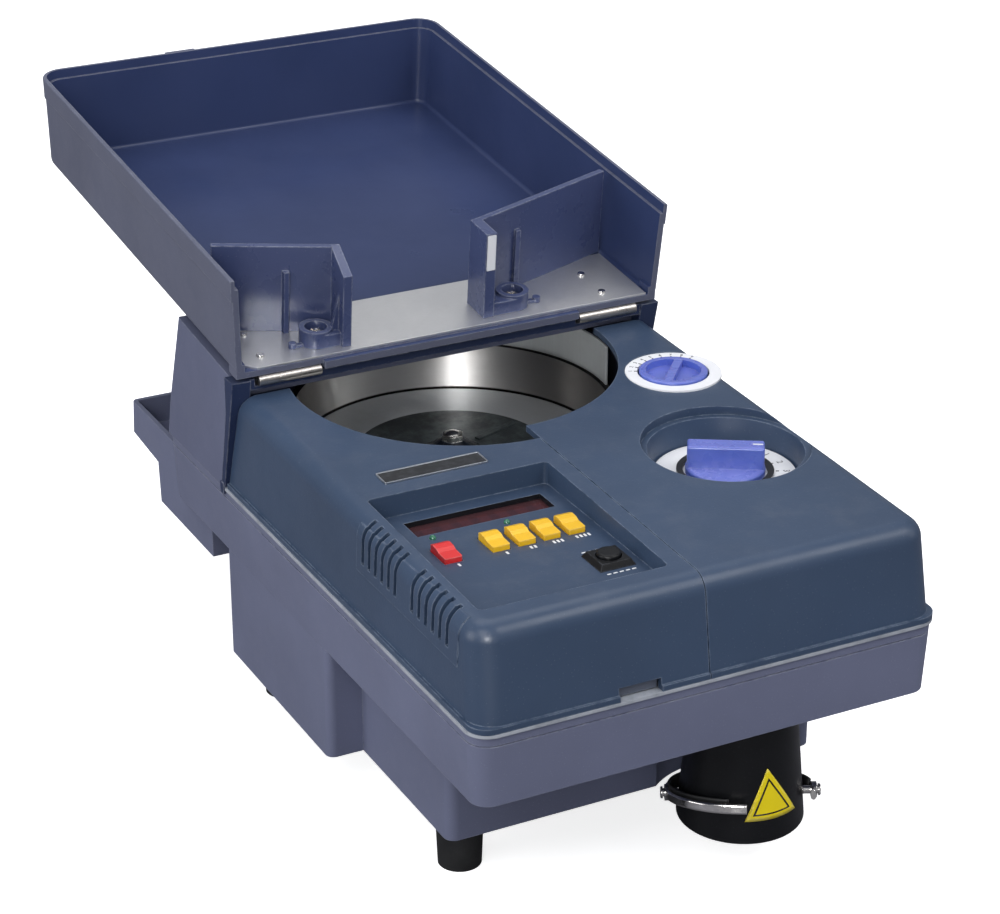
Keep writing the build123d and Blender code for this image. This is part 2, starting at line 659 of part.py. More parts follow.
# ---------------------------------------------------------------- dials and knobs
def dial_plates():
    """White scale discs behind the two knobs; the large one has a raised collar."""
    x, y = SMALL_DIAL
    z = cover_top(y)
    small = ring(x, y, z - 0.9, z + 0.25, SMALL_KNOB_R + 0.8, SMALL_DIAL_R)
    x, y = LARGE_DIAL
    z = WELL_FLOOR_Z
    large = ring(x, y, z, z + 1.2, SHAFT_R + RUNNING, LARGE_PLATE_R)
    large += ring(x, y, z + 1.2, z + 3.0, 18.8, 21.6)
    return group([small, large])


def small_knob():
    x, y = SMALL_DIAL
    z = cover_top(y)
    body = rod(x, y, z - 4.6, z + 1.3, SMALL_KNOB_R)
    body = fillet(body.edges().group_by(Axis.Z)[-1], 0.8)
    cup = rod(x, y, z - 2.2, z + 6, SMALL_KNOB_R - 3.1)
    grip = Pos(x, y, z - 0.9) * Rot(0, 0, 48.6) * Box(2 * SMALL_KNOB_R - 5, 4.0, 3.8)
    body = (body - cup) + grip
    return body + rod(x, y, 128.0, z - 2.2, SHAFT_R)


def large_knob():
    x, y = LARGE_DIAL
    z = WELL_FLOOR_Z + 1.5
    base = rod(x, y, z, z + 3.4, 17.7)
    base = fillet(base.edges().group_by(Axis.Z)[-1], 1.0)
    bar = Pos(x, y, z + 8.2) * Rot(0, 0, -31.0) * Box(34.0, 9.4, 10.9)
    bar = fillet(bar.edges().filter_by(lambda e: e.center().Z > z + 3), 1.1)
    return base + bar + rod(x, y, CAM_Z[0] - 4, z + 1, SHAFT_R)


# ---------------------------------------------------------------- bag tube and its ring
def tube_radius(z):
    """Outer radius of the conical tube at height z."""
    share = (z - TUBE_BOTTOM_Z) / (RIM_BOTTOM_Z - TUBE_BOTTOM_Z)
    return TUBE_MOUTH_R + (TUBE_TOP_R - TUBE_MOUTH_R) * share


def bag_tube():
    """Conical spout that coins drop through, with two holes for the ring's pivots."""
    outer = cone(TUBE_X, TUBE_Y, TUBE_BOTTOM_Z, RIM_BOTTOM_Z, TUBE_MOUTH_R, TUBE_TOP_R)
    outer = fillet(outer.edges().group_by(Axis.Z)[0], 0.8)
    outer += rod(TUBE_X, TUBE_Y, RIM_BOTTOM_Z, DECK_TOP_Z, TUBE_BORE_R + 2.6)
    bore = cone(TUBE_X, TUBE_Y, TUBE_BOTTOM_Z - 1, 60, 24.6, TUBE_BORE_R + 1.2)
    bore += rod(TUBE_X, TUBE_Y, 59.9, DECK_TOP_Z + 1, TUBE_BORE_R)
    tube = outer - bore
    for turn in (0, 180):
        tube -= on_pivot(turn) * Pos(0, 0, 24) * Cylinder(1.5, 12)
    return tube


def on_pivot(turn):
    """Frame on the tube's axis with its Z along the ring's pivot."""
    return Pos(TUBE_X, TUBE_Y, RING_Z) * Rot(0, 0, RING_PIVOT_HEADING + turn) * Rot(0, 90, 0)


def in_ring(shape):
    """Places a ring drawn flat round the origin at its slant about the pivot."""
    heading = Rot(0, 0, RING_PIVOT_HEADING)
    return Pos(TUBE_X, TUBE_Y, RING_Z) * heading * Rot(RING_SLANT, 0, 0) * shape


def bag_ring():
    """Open steel ring that clamps a bag on the tube, free end at the front."""
    body = Cylinder(RING_OUT_R, RING_H) - Cylinder(RING_IN_R, RING_H + 2)
    body = fillet(body.edges().filter_by(GeomType.CIRCLE), 1.0)
    # gap between the free end and the lug at the pivot
    points = [(0, 0)]
    for angle in (RING_GAP[0], sum(RING_GAP) / 2, RING_GAP[1]):
        a = math.radians(angle)
        points.append((90 * math.cos(a), 90 * math.sin(a)))
    body -= plan_profile(points, -10, 10)
    lug = Rot(0, 90, 0) * Pos(0, 0, (RING_IN_R + RING_OUT_R) / 2) * Cylinder(3.6, RING_LUG_T)
    body += lug + Rot(0, 0, 180) * lug
    return in_ring(body - Rot(0, 90, 0) * Cylinder(PIVOT_R + RUNNING, 100))


def ring_pivots():
    """Two slotted shoulder screws on which the ring swings."""
    bodies = []
    for turn in (0, 180):
        start = tube_radius(RING_Z)
        head_at = RING_OUT_R + 0.7
        pin = Pos(0, 0, (start + head_at) / 2 + 0.2) * Cylinder(PIVOT_R, head_at - start)
        pin += Pos(0, 0, start - 2) * Cylinder(1.5, 6)
        head = Pos(0, 0, head_at + 0.65) * Cylinder(2.6, 0.9)
        head = fillet(head.edges().group_by(Axis.Z)[-1], 0.3)
        pin += head
        pin -= Pos(0, 0, head_at + 1.1) * Box(0.8, 7, 0.6)
        bodies.append(on_pivot(turn) * pin)
    return group(bodies)


# ---------------------------------------------------------------- rear tower
def tower_outline(inset):
    top = TOWER_TOP_Z
    slope = math.tan(math.radians(TILT))
    y_rear = 71.5
    z_top_rear = top + slope * (y_rear - 3.4)
    foot = TUB_TOP_Z - (1.0 if inset else 0.0)
    return [(13.0 + inset, foot), (3.4 + inset, 149.3), (3.4 + inset, top - inset),
            (y_rear - inset, z_top_rear - inset), (83.2 - inset, 126.0), (86.0 - inset, foot)]


def tower_sides(inset):
    """Block with the tower's drafted sides."""
    foot, top = TOWER_FOOT_HALF_W - inset, TOWER_TOP_HALF_W - inset
    lean = (foot - top) * 80.0 / (TOWER_TOP_Z - TUB_TOP_Z)
    outline = [(-foot, TUB_TOP_Z - 1.0), (-foot, TUB_TOP_Z), (-foot + lean, TUB_TOP_Z + 80.0),
               (foot - lean, TUB_TOP_Z + 80.0), (foot, TUB_TOP_Z), (foot, TUB_TOP_Z - 1.0)]
    return front_profile(outline, -40, 120)


def rear_tower():
    outer = side_profile(tower_outline(0), -112, 112) & tower_sides(0)
    back = outer.edges().filter_by(lambda e: e.center().Y > 60 and e.center().Z > 112
                                   and (abs(e.center().X) > 100 or e.length > 150)
                                   and e.center().Z < 172.5)
    outer = fillet(back, 5.0)
    inner = side_profile(tower_outline(WALL), -112, 112)
    inner += side_profile([(-20, 104), (-20, 155.5), (20, 155.5), (30, 104)], -112, 112)
    body = outer - (inner & tower_sides(WALL))
    # rests for the hopper
    for x in (-80, 80):
        body -= rod(x, 58, 160, 180, 3.1)
    return body


def hopper_rests():
    """Rubber buttons on the tower's top that the lowered hopper lies on."""
    slope = math.tan(math.radians(TILT))
    z_under = HINGE_Z + slope * (58 - HINGE_Y) + TRAY_UNDER / math.cos(math.radians(TILT))
    z_tower = TOWER_TOP_Z + slope * (58 - 3.4)
    pads = []
    for x in (-80, 80):
        pad = rod(x, 58, z_tower - 5, z_under + 6, 6.0) - rod(x, 58, z_tower - 6, z_tower + 1.0, 9.0)
        pad += rod(x, 58, z_tower - 5, z_tower + 1.5, 3.0)
        pads.append(pad & in_tray(block(-120, 120, 0, 120, -60, TRAY_UNDER - 0.05)))
    return group(pads)


def front_frame():
    """Frame round the tower's front opening; its top bar carries the hinges."""
    rear_slope = (FRAME_TOP_Y - FRAME_FOOT_Y) / (FRAME_TOP_Z - LIP_Z)
    z_top = 166.6
    y_at_top = FRAME_FOOT_Y + rear_slope * (z_top - LIP_Z)
    post = [(9.2, TUB_TOP_Z), (9.2, LIP_Z + 0.2), (FRAME_FOOT_Y, LIP_Z + 0.2), (y_at_top, z_top),
            (3.2, z_top), (3.2, 149.3), (12.8, TUB_TOP_Z)]
    frame = side_profile(post, -110.2, -101.0) + side_profile(post, 101.0, 110.2)
    bar = [(-4.9, 161.3), (-4.9, 163.0), (3.2, 163.0), (3.2, 158.9), (0.3, 158.9)]
    frame += side_profile(bar, -102, 102)
    frame += block(-65.9, 65.9, -4.9, 3.2, 162.5, 164.9)
    for s in (-1, 1):
        x0, x1 = sorted((s * 98.6, s * 102.0))
        frame += block(x0, x1, -4.9, 3.2, 162.5, z_top)
        # clip that hooks over the tub's rim
        x0, x1 = sorted((s * 109.5, s * 110.6))
        frame += block(x0, x1, 9.4, 13.2, 105.4, 111.0)
    return frame


# ---------------------------------------------------------------- hopper and its hinges
def tray_shell(inset, w0, w1):
    """Flared block with the tray's form, shrunk by inset on the sides and the rear."""
    length = TRAY_REAR + 40.0
    flat = Pos(0, TRAY_REAR - length / 2, w0) * RectangleRounded(
        2 * (TRAY_HALF_W - inset), length - 2 * inset, 9.0 - inset)
    return extrude(flat, w1 - w0, taper=-TRAY_FLARE)


def hopper_tray():
    outer = tray_shell(0, TRAY_UNDER, TRAY_RIM)
    outer = fillet(outer.faces().sort_by(Axis.Z)[0].edges(), 6.0)
    # lip band round the rim
    band = tray_shell(-2.6, TRAY_RIM - 10.4, TRAY_RIM)
    band = fillet(band.faces().sort_by(Axis.Z)[-1].edges(), 0.8)
    outer += band
    inner = tray_shell(WALL - 0.2, TRAY_FLOOR, TRAY_RIM + 6)
    inner = fillet(inner.faces().sort_by(Axis.Z)[0].edges(), 2.0)
    body = outer - inner
    # shallow step inside the rim
    step = tray_shell(-0.9, TRAY_RIM - 4.6, TRAY_RIM + 6)
    body -= step
    # open front
    body -= block(-130, 130, -60, TRAY_FRONT, -10, 80)
    # floor under the steel plate, squared up to the side walls at the front
    body += block(-TRAY_HALF_W + 4, TRAY_HALF_W - 4, TRAY_FRONT, 18, TRAY_UNDER, TRAY_FLOOR)
    corner = TRAY_HALF_W + 0.1
    for s in (-1, 1):
        body += block(min(s * 104.0, s * corner), max(s * 104.0, s * corner), TRAY_FRONT, 8,
                      TRAY_UNDER, TRAY_UNDER + 7)
    # front lip between the hinges
    body += block(-65.6, 65.6, -3.2, TRAY_FRONT + 1, 1.3, 4.9)
    # screw holes for plate and baffles, peg holes
    for x, v in PLATE_RIVETS:
        body -= rod(x, v, TRAY_UNDER - 1, TRAY_FLOOR + 1, 1.5)
    for x, v in BAFFLE_SCREWS:
        body -= rod(x, v, TRAY_UNDER - 1, TRAY_FLOOR + 1, 1.6)
    # moulded mark on the rear rim
    body += block(-41, -25, 256.2, 259.2, TRAY_RIM - 3.0, TRAY_RIM) & tray_shell(
        -3.4, TRAY_RIM - 10, TRAY_RIM)
    return in_tray(body)


PLATE_RIVETS = ((-91.4, 31.9), (-92.2, 9.7), (83.4, 28.6), (83.6, 8.3))
BAFFLE_SCREWS = ((-63.5, 13.0), (37.5, 13.0))
LEFT_WALL = ((-103.6, 40.8), (-53.0, 19.6))
RIGHT_WALL = ((103.6, 47.8), (24.0, 20.4))


def steel_plate():
    outline = [(-103.0, 4.5), (-97.5, -0.4), (103.0, -0.4), (103.0, 46.0), (60.0, 44.0),
               (-60.0, 44.0), (-103.0, 39.0)]
    body = plan_profile(outline, TRAY_FLOOR, TRAY_FLOOR + PLATE_T)
    for x, v in PLATE_RIVETS:
        body -= rod(x, v, TRAY_FLOOR - 1, TRAY_FLOOR + 3, 1.5)
    for x, v in BAFFLE_SCREWS:
        body -= rod(x, v, TRAY_FLOOR - 1, TRAY_FLOOR + 3, 1.6)
    return in_tray(body)


def wall_strip(start, end, thick, z0, z1):
    (x0, v0), (x1, v1) = start, end
    length = math.hypot(x1 - x0, v1 - v0)
    nx, nv = -(v1 - v0) / length * thick, (x1 - x0) / length * thick
    if nv < 0:
        nx, nv = -nx, -nv
    return plan_profile([(x0, v0), (x1, v1), (x1 + nx, v1 + nv), (x0 + nx, v0 + nv)], z0, z1)


def baffle(wall, fin_front, fin_t, screw, side, drop):
    """Funnel wall with a thick fin at its inner end and a screwed foot."""
    z0 = TRAY_FLOOR + PLATE_T + 0.05
    body = wall_strip(wall[0], wall[1], 3.0, z0, BAFFLE_TOP)
    (xe, ve), (xf, vf) = wall[1], fin_front
    inner = side * fin_t
    fin = plan_profile([(xe, ve + 3.2), (xe - inner * 0.0, ve - 0.4), (xf + inner, vf), (xf, vf),
                        (xe - inner, ve + 1.6)], z0, BAFFLE_TOP)
    if drop:
        wedge = [(vf - 3, BAFFLE_TOP - drop), (ve + 2, BAFFLE_TOP + 0.2), (vf - 3, BAFFLE_TOP + 4)]
        fin -= side_profile(wedge, -130, 130)
    body += fin
    sx, sv = screw
    foot_z = z0 + 8.0
    boss = rod(sx, sv, z0, foot_z, 7.8)
    x_lo, x_hi = sorted((sx, xf + inner * 0.6))
    boss += block(x_lo, x_hi, sv - 7.8, sv + 5, z0, z0 + 6.5)
    body += boss
    # rib up the wall beside the screw, thin gusset against the fin, locating peg
    (x0, v0), rx = wall[0], sx + side * 9.0
    rv = v0 + (rx - x0) * (ve - v0) / (xe - x0)
    body += block(rx - 1.3, rx + 1.3, rv - 2.2, rv + 2.0, z0, z0 + 31)
    gx = xf + inner * 0.8
    tip = gx + side * 4.2
    body += front_profile([(gx, z0 + 6), (tip, z0 + 6), (gx, z0 + 27)], sv - 4.3, sv - 2.7)
    px, pv = sx + side * 12.2, sv - 1.7
    body += rod(px, pv, z0, z0 + 2.6, 1.9)
    x_lo, x_hi = sorted((px, sx + side * 6.0))
    body += block(x_lo, x_hi, pv - 1.2, pv + 1.2, z0, z0 + 1.5)
    body -= rod(sx, sv, z0 + 3.4, z0 + 20, 5.2)
    return body - rod(sx, sv, z0 - 1, z0 + 12, 1.6)


def left_baffle():
    return in_tray(baffle(LEFT_WALL, (-50.0, 3.2), 4.4, BAFFLE_SCREWS[0], -1, 9.0))


def right_baffle():
    return in_tray(baffle(RIGHT_WALL, (18.4, 4.6), 5.4, BAFFLE_SCREWS[1], 1, 0.0))


def hopper_fasteners():
    """Rivets of the steel plate and the screws in the baffles' feet."""
    top = TRAY_FLOOR + PLATE_T
    bodies = []
    for x, v in PLATE_RIVETS:
        head = Pos(x, v, top) * Sphere(1.9) & block(x - 4, x + 4, v - 4, v + 4, top, top + 0.9)
        bodies.append(head + rod(x, v, TRAY_UNDER + 0.1, top + 0.2, 1.45))
    z = TRAY_FLOOR + PLATE_T + 0.05 + 3.4
    for x, v in BAFFLE_SCREWS:
        head = Pos(x, v, z) * Sphere(3.6) & block(x - 6, x + 6, v - 6, v + 6, z, z + 2.2)
        head -= Pos(x, v, z + 2.0) * Rot(0, 0, 30) * Box(5.0, 0.9, 1.4)
        head -= Pos(x, v, z + 2.0) * Rot(0, 0, 120) * Box(5.0, 0.9, 1.4)
        bodies.append(head + rod(x, v, TRAY_UNDER + 0.1, z + 0.3, 1.55))
    return in_tray(group(bodies))


def knuckles(fixed):
    bodies = []
    gap = 0.08
    for side in (-1, 1):
        a, b = BARREL
        cuts = [a, a + KNUCKLE, b - KNUCKLE, b]
        spans = [(cuts[0], cuts[1] - gap), (cuts[2] + gap, cuts[3])] if fixed else [(cuts[1], cuts[2])]
        leaf = None
        for lo, hi in spans:
            x0, x1 = sorted((side * lo, side * hi))
            knuckle = rod_x(x0, x1, 0, 0, BARREL_R)
            if fixed:
                knuckle += block(x0, x1, 0, 8.6, -2.75, -1.75)
            else:
                knuckle += block(x0, x1, 0, 13.0, 1.65, 2.6)
            leaf = knuckle if leaf is None else leaf + knuckle
        x0, x1 = sorted((side * a, side * b))
        if fixed:
            leaf += block(x0, x1, 3.4, 8.6, -2.75, -1.75)
        else:
            leaf += block(x0, x1, 3.4, 13.0, 1.65, 2.6)
        bodies.append(leaf - rod_x(x0 - 1, x1 + 1, 0, 0, PIN_R + RUNNING))
    return group(bodies)


def fixed_hinge_leaves():
    """Leaves on the front frame's bar with the two hinge pins."""
    a, b = BARREL
    pins = [rod_x(min(s * a, s * b), max(s * a, s * b), 0, 0, PIN_R) for s in (-1, 1)]
    return Pos(0, HINGE_Y, HINGE_Z) * group([knuckles(True)] + pins)


def hopper_hinge_leaves():
    return in_tray(knuckles(False))


# ---------------------------------------------------------------- off-sort box
def offsort_box():
    """Drawer for rejected coins; its rear part widens into a scoop-shaped handle."""
    x, t = BOX_HALF_W, BOX_T
    outline = [(BOX_FRONT_Y, BOX_BOTTOM_Z), (126.8, BOX_BOTTOM_Z), (128.5, 70.2), (165.1, 73.2),
               (163.3, BOX_TOP_Z), (90.0, BOX_TOP_Z), (90.0, BOX_FLANGE_Z),
               (BOX_FRONT_Y, BOX_FLANGE_Z)]
    body = side_profile(outline, -x, x)
    rear = body.edges().filter_by(lambda e: e.center().Y > 163 and 78 < e.center().Z < 86)
    body = fillet(rear, 3.0)
    body -= side_profile([(BOX_FRONT_Y + t, BOX_BOTTOM_Z + t), (126.8 - t, BOX_BOTTOM_Z + t),
                          (128.5 - t, 70.2 + t), (165.1 - t - 0.2, 73.2 + t), (163.3 - t - 0.3, 95),
                          (BOX_FRONT_Y + t, 95)], -x + t, x - t)
    body -= block(-x + t, x - t, BOX_FRONT_Y - 1, BOX_FRONT_Y + t + 1, 66.0, 95)
    # flanges that hang on the runners, reaching forward past the drawer
    for s in (-1, 1):
        x0, x1 = sorted((s * (x - 9.0), s * x))
        body += block(x0, x1, 26, 88, BOX_FLANGE_Z - 3.2, BOX_FLANGE_Z)
    return body


def box_runners():
    """Pair of L-shaped rails under the rear overhang that carry the box."""
    bodies = []
    for s in (-1, 1):
        x0, x1 = sorted((s * 86.4, s * 88.8))
        rail = block(x0, x1, 24, 82, BOX_FLANGE_Z - 6.0, RIM_BOTTOM_Z)
        x0, x1 = sorted((s * 86.4, s * 95.0))
        rail += block(x0, x1, 24, 82, BOX_FLANGE_Z - 6.0, BOX_FLANGE_Z - 3.6)
        bodies.append(rail)
    return group(bodies)


# ---------------------------------------------------------------- mains
def power_inlet():
    """Mains inlet moulded in one piece with the frame of the power switch."""
    y = BELLY_REAR_Y
    body = block(-82.8, -30.2, y - 16, y, 32.2, 53.8)
    body += rounded_plate(-86, -27, y, 1.8, 29.5, 56.5)
    body -= block(-80, -56, y - 12, y + 3, 35, 51)
    body -= block(-43.2, -31.8, y - 13, y + 3, 34.6, 51.4)
    body -= rod_x(-44.6, -30.4, y - 3, 43, 1.3)
    for x in (-73, -68, -63):
        body += block(x - 0.9, x + 0.9, y - 13, y - 2, 40, 46)
    return body


def rounded_plate(x0, x1, y0, thick, z0, z1):
    face = Plane.XZ * RectangleRounded(x1 - x0, z1 - z0, 2.0)
    return Pos((x0 + x1) / 2, y0, (z0 + z1) / 2) * extrude(face, thick, dir=(0, 1, 0))


def power_rocker():
    y = BELLY_REAR_Y
    outline = [(y - 8, 37), (y + 2.6, 35.6), (y + 0.8, 43), (y + 2.6, 50.4), (y - 8, 49)]
    body = side_profile(outline, -42.9, -32.1)
    return body + rod_x(-44.4, -30.6, y - 3, 43, 1.25)


# ---------------------------------------------------------------- write the sub-parts
SUB_PARTS = {
    "base_tub": lambda: drill_feet(base_tub()),
    "lip_gasket": lip_gasket,
    "rubber_feet": rubber_feet,
    "deck_plate": deck_plate,
    "deck_screws": deck_screws,
    "bowl_ring": bowl_ring,
    "bowl_guard": bowl_guard,
    "disc_bearing": disc_bearing,
    "drive_belt": drive_belt,
    "drive_motor": drive_motor,
    "coin_rail": coin_rail,
    "transport_belt": transport_belt,
    "belt_bracket": belt_bracket,
    "counting_sensor": counting_sensor,
    "left_cover": left_cover,
    "right_cover": right_cover,
    "name_plate": name_plate,
    "display_window": display_window,
    "display_board": display_board,
    "control_board": control_board,
    "transformer": transformer,
    "motor_key_frame": motor_key_frame,
    "status_lamps": status_lamps,
    "dial_plates": dial_plates,
    "bag_tube": bag_tube,
    "ring_pivots": ring_pivots,
    "rear_tower": rear_tower,
    "hopper_rests": hopper_rests,
    "front_frame": front_frame,
    "fixed_hinge_leaves": fixed_hinge_leaves,
    "box_runners": box_runners,
    "power_inlet": power_inlet,
    "hopper_tray": hopper_tray,
    "steel_plate": steel_plate,
    "left_baffle": left_baffle,
    "right_baffle": right_baffle,
    "hopper_fasteners": hopper_fasteners,
    "hopper_hinge_leaves": hopper_hinge_leaves,
    "feed_disc": feed_disc,
    "disc_mat": disc_mat,
    "hub_cap": hub_cap,
    "disc_shaft": disc_shaft,
    "disc_pulley": disc_pulley,
    "motor_pulley": motor_pulley,
    "rear_roller": rear_roller,
    "front_roller": front_roller,
    "diameter_guide": diameter_guide,
    "small_knob": small_knob,
    "large_knob": large_knob,
    "diameter_cam": diameter_cam,
    "reset_key": reset_key,
    "store_key": lambda: key_cap(*KEYS[0]),
    "total_key": lambda: key_cap(*KEYS[1]),
    "batch_key": lambda: key_cap(*KEYS[2]),
    "clear_key": lambda: key_cap(*KEYS[3]),
    "motor_key": motor_key,
    "cover_latch": cover_latch,
    "bag_ring": bag_ring,
    "offsort_box": offsort_box,
    "power_rocker": power_rocker,
}


def main():
    os.makedirs("parts", exist_ok=True)
    for name, build in SUB_PARTS.items():
        shape = Pos(0, ORIGIN_SHIFT_Y, 0) * build()
        export_step(shape, f"parts/{name}.step")


main()
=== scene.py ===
import bpy
import bmesh
import json
import math
from mathutils import Matrix, Vector

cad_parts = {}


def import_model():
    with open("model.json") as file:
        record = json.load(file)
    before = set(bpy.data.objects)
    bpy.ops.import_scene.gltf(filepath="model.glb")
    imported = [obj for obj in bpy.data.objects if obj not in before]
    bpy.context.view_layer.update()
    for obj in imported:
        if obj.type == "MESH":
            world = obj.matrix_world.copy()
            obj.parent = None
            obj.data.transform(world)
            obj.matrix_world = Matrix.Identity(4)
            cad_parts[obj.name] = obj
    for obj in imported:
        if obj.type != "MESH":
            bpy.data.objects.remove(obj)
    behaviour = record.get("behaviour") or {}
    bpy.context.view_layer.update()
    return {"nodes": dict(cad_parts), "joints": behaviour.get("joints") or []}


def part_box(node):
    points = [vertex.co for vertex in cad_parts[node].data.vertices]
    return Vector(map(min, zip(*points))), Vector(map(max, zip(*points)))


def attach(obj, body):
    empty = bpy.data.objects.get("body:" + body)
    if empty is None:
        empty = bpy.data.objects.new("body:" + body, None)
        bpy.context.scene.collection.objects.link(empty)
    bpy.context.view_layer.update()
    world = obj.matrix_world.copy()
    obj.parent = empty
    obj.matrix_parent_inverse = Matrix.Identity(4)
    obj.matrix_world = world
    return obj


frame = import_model()
joints = {j["name"]: j for j in frame["joints"]}

# Lengths are in metres unless a comment says otherwise. X, Y and Z are axis numbers.
MM = 0.001
X, Y, Z = 0, 1, 2
HOPPER_SLOPE = 5.6        # degrees, the tray's floor at rest
KNOB_HEADING = -31.0      # degrees, the large knob's bar at rest
RING_SLANT = -17.3        # degrees, the bag ring about its pivots' line at rest
PANEL_PRINT = 6e-5        # thickness of the marks on the key panel and the label's line
DIAL_PRINT = 8e-5         # thickness of the dials' numerals and ticks


def rgb(r, g, b):
    """Display colour 0-255 as a linear colour."""
    def lin(v):
        v /= 255
        return v / 12.92 if v <= 0.04045 else ((v + 0.055) / 1.055) ** 2.4
    return (lin(r), lin(g), lin(b), 1)


def scaled(colour, factor):
    """The colour made lighter or darker, kept within 1."""
    return tuple(min(1, c * factor) for c in colour[:3]) + (1,)


def plan_centre(lo, hi):
    """X and Y of the middle of a box."""
    return (lo.x + hi.x) / 2, (lo.y + hi.y) / 2


# ---------------------------------------------------------------- materials
class Graph:
    """Small helper round one material's node tree, working in object metres."""

    def __init__(self, name):
        self.mat = bpy.data.materials.new(name)
        self.mat.use_nodes = True
        self.tree = self.mat.node_tree
        self.tree.nodes.clear()
        out = self.add("ShaderNodeOutputMaterial")
        self.bsdf = self.add("ShaderNodeBsdfPrincipled")
        self.link(self.bsdf.outputs["BSDF"], out.inputs["Surface"])
        self.coord = self.add("ShaderNodeTexCoord").outputs["Object"]

    def add(self, kind, **props):
        node = self.tree.nodes.new(kind)
        for key, value in props.items():
            setattr(node, key, value)
        return node

    def link(self, a, b):
        self.tree.links.new(a, b)

    def put(self, socket, value):
        """Links an output to the socket, or sets a plain value on it."""
        if hasattr(value, "is_output"):
            self.link(value, socket)
        else:
            socket.default_value = value

    def calc(self, op, a, b=0.0, clamp=False):
        node = self.add("ShaderNodeMath", operation=op, use_clamp=clamp)
        self.put(node.inputs[0], a)
        self.put(node.inputs[1], b)
        return node.outputs[0]

    def times(self, a, b):
        return self.calc("MULTIPLY", a, b)

    def spread(self, value, lo, hi, to_lo=0.0, to_hi=1.0):
        """Smooth step of a value from lo..hi to to_lo..to_hi."""
        node = self.add("ShaderNodeMapRange", interpolation_type="SMOOTHSTEP")
        self.put(node.inputs["Value"], value)
        node.inputs["From Min"].default_value = lo
        node.inputs["From Max"].default_value = hi
        node.inputs["To Min"].default_value = to_lo
        node.inputs["To Max"].default_value = to_hi
        return node.outputs[0]

    def stretched(self, sx, sy, sz):
        """Object coordinates scaled along each axis, which draws a noise out into lines."""
        node = self.add("ShaderNodeMapping")
        self.link(self.coord, node.inputs["Vector"])
        node.inputs["Scale"].default_value = (sx, sy, sz)
        return node.outputs[0]

    def noise(self, scale, detail=3.0, rough=0.5, vector=None):
        node = self.add("ShaderNodeTexNoise")
        self.link(vector or self.coord, node.inputs["Vector"])
        node.inputs["Scale"].default_value = scale
        node.inputs["Detail"].default_value = detail
        node.inputs["Roughness"].default_value = rough
        return node.outputs["Fac"]

    def patches(self, texture, lo, hi, to_lo=0.0, to_hi=1.0):
        """Soft-edged patches from a noise, texture being its (scale, detail, roughness)."""
        return self.spread(self.noise(*texture), lo, hi, to_lo, to_hi)

    def cells(self, scale, feature="F1"):
        node = self.add("ShaderNodeTexVoronoi", feature=feature)
        self.link(self.coord, node.inputs["Vector"])
        node.inputs["Scale"].default_value = scale
        return node.outputs["Distance"]

    def mix(self, fac, a, b):
        """Colour a where fac is 0 and colour b where it is 1."""
        node = self.add("ShaderNodeMix", data_type="RGBA")
        self.put(node.inputs[0], fac)
        self.put(node.inputs[6], a)
        self.put(node.inputs[7], b)
        return node.outputs[2]

    def bump(self, height, strength, distance, normal=None):
        node = self.add("ShaderNodeBump")
        node.inputs["Strength"].default_value = strength
        node.inputs["Distance"].default_value = distance
        self.link(height, node.inputs["Height"])
        if normal:
            self.link(normal, node.inputs["Normal"])
        return node.outputs["Normal"]

    def rounded(self, radius):
        """Normal with edges rounded off by a radius."""
        node = self.add("ShaderNodeBevel", samples=4)
        node.inputs["Radius"].default_value = radius
        return node.outputs["Normal"]

    def edges(self, soft):
        """1 along edges, 0 on open faces, from a normal made by rounded()."""
        geo = self.add("ShaderNodeNewGeometry")
        dot = self.add("ShaderNodeVectorMath", operation="DOT_PRODUCT")
        self.link(soft, dot.inputs[0])
        self.link(geo.outputs["Normal"], dot.inputs[1])
        return self.spread(dot.outputs["Value"], 0.995, 0.86)

    def facing_up(self):
        """1 on level faces, 0 on steep ones."""
        geo = self.add("ShaderNodeNewGeometry")
        split = self.add("ShaderNodeSeparateXYZ")
        self.link(geo.outputs["Normal"], split.inputs[0])
        return self.spread(split.outputs[Z], 0.3, 1.0)

    def axes(self):
        """X, Y and Z of the object coordinates."""
        split = self.add("ShaderNodeSeparateXYZ")
        self.link(self.coord, split.inputs[0])
        return split.outputs

    def away_from(self, axis, value):
        """Distance along one axis from a value on it."""
        return self.calc("ABSOLUTE", self.calc("SUBTRACT", self.axes()[axis], value))

    def radius_about(self, x, y):
        ax = self.axes()
        dx = self.calc("SUBTRACT", ax[X], x)
        dy = self.calc("SUBTRACT", ax[Y], y)
        return self.calc("SQRT", self.calc("ADD", self.times(dx, dx), self.times(dy, dy)))

    def set(self, **values):
        """Sets inputs of the Principled shader and returns the material."""
        for key, value in values.items():
            self.put(self.bsdf.inputs[key.replace("_", " ")], value)
        return self.mat


GRAIN_BUMP = 0.0003       # depth that moulded grain and pores stand for
DRIFT = (9, 4, 0.6)       # noise of the slow colour drift in a moulding
DUST_COLOUR = (0.7, 0.68, 0.64, 1)
SPECK_SHARE = 0.10
DARK_SIDE = 1.6           # the drift goes this much further to dark than to light
WEAR_AND_HIGHLIGHT_REACH = 2.2          # rubbed edges, which also paint the edges' highlight lines, are this much wider than the rounding
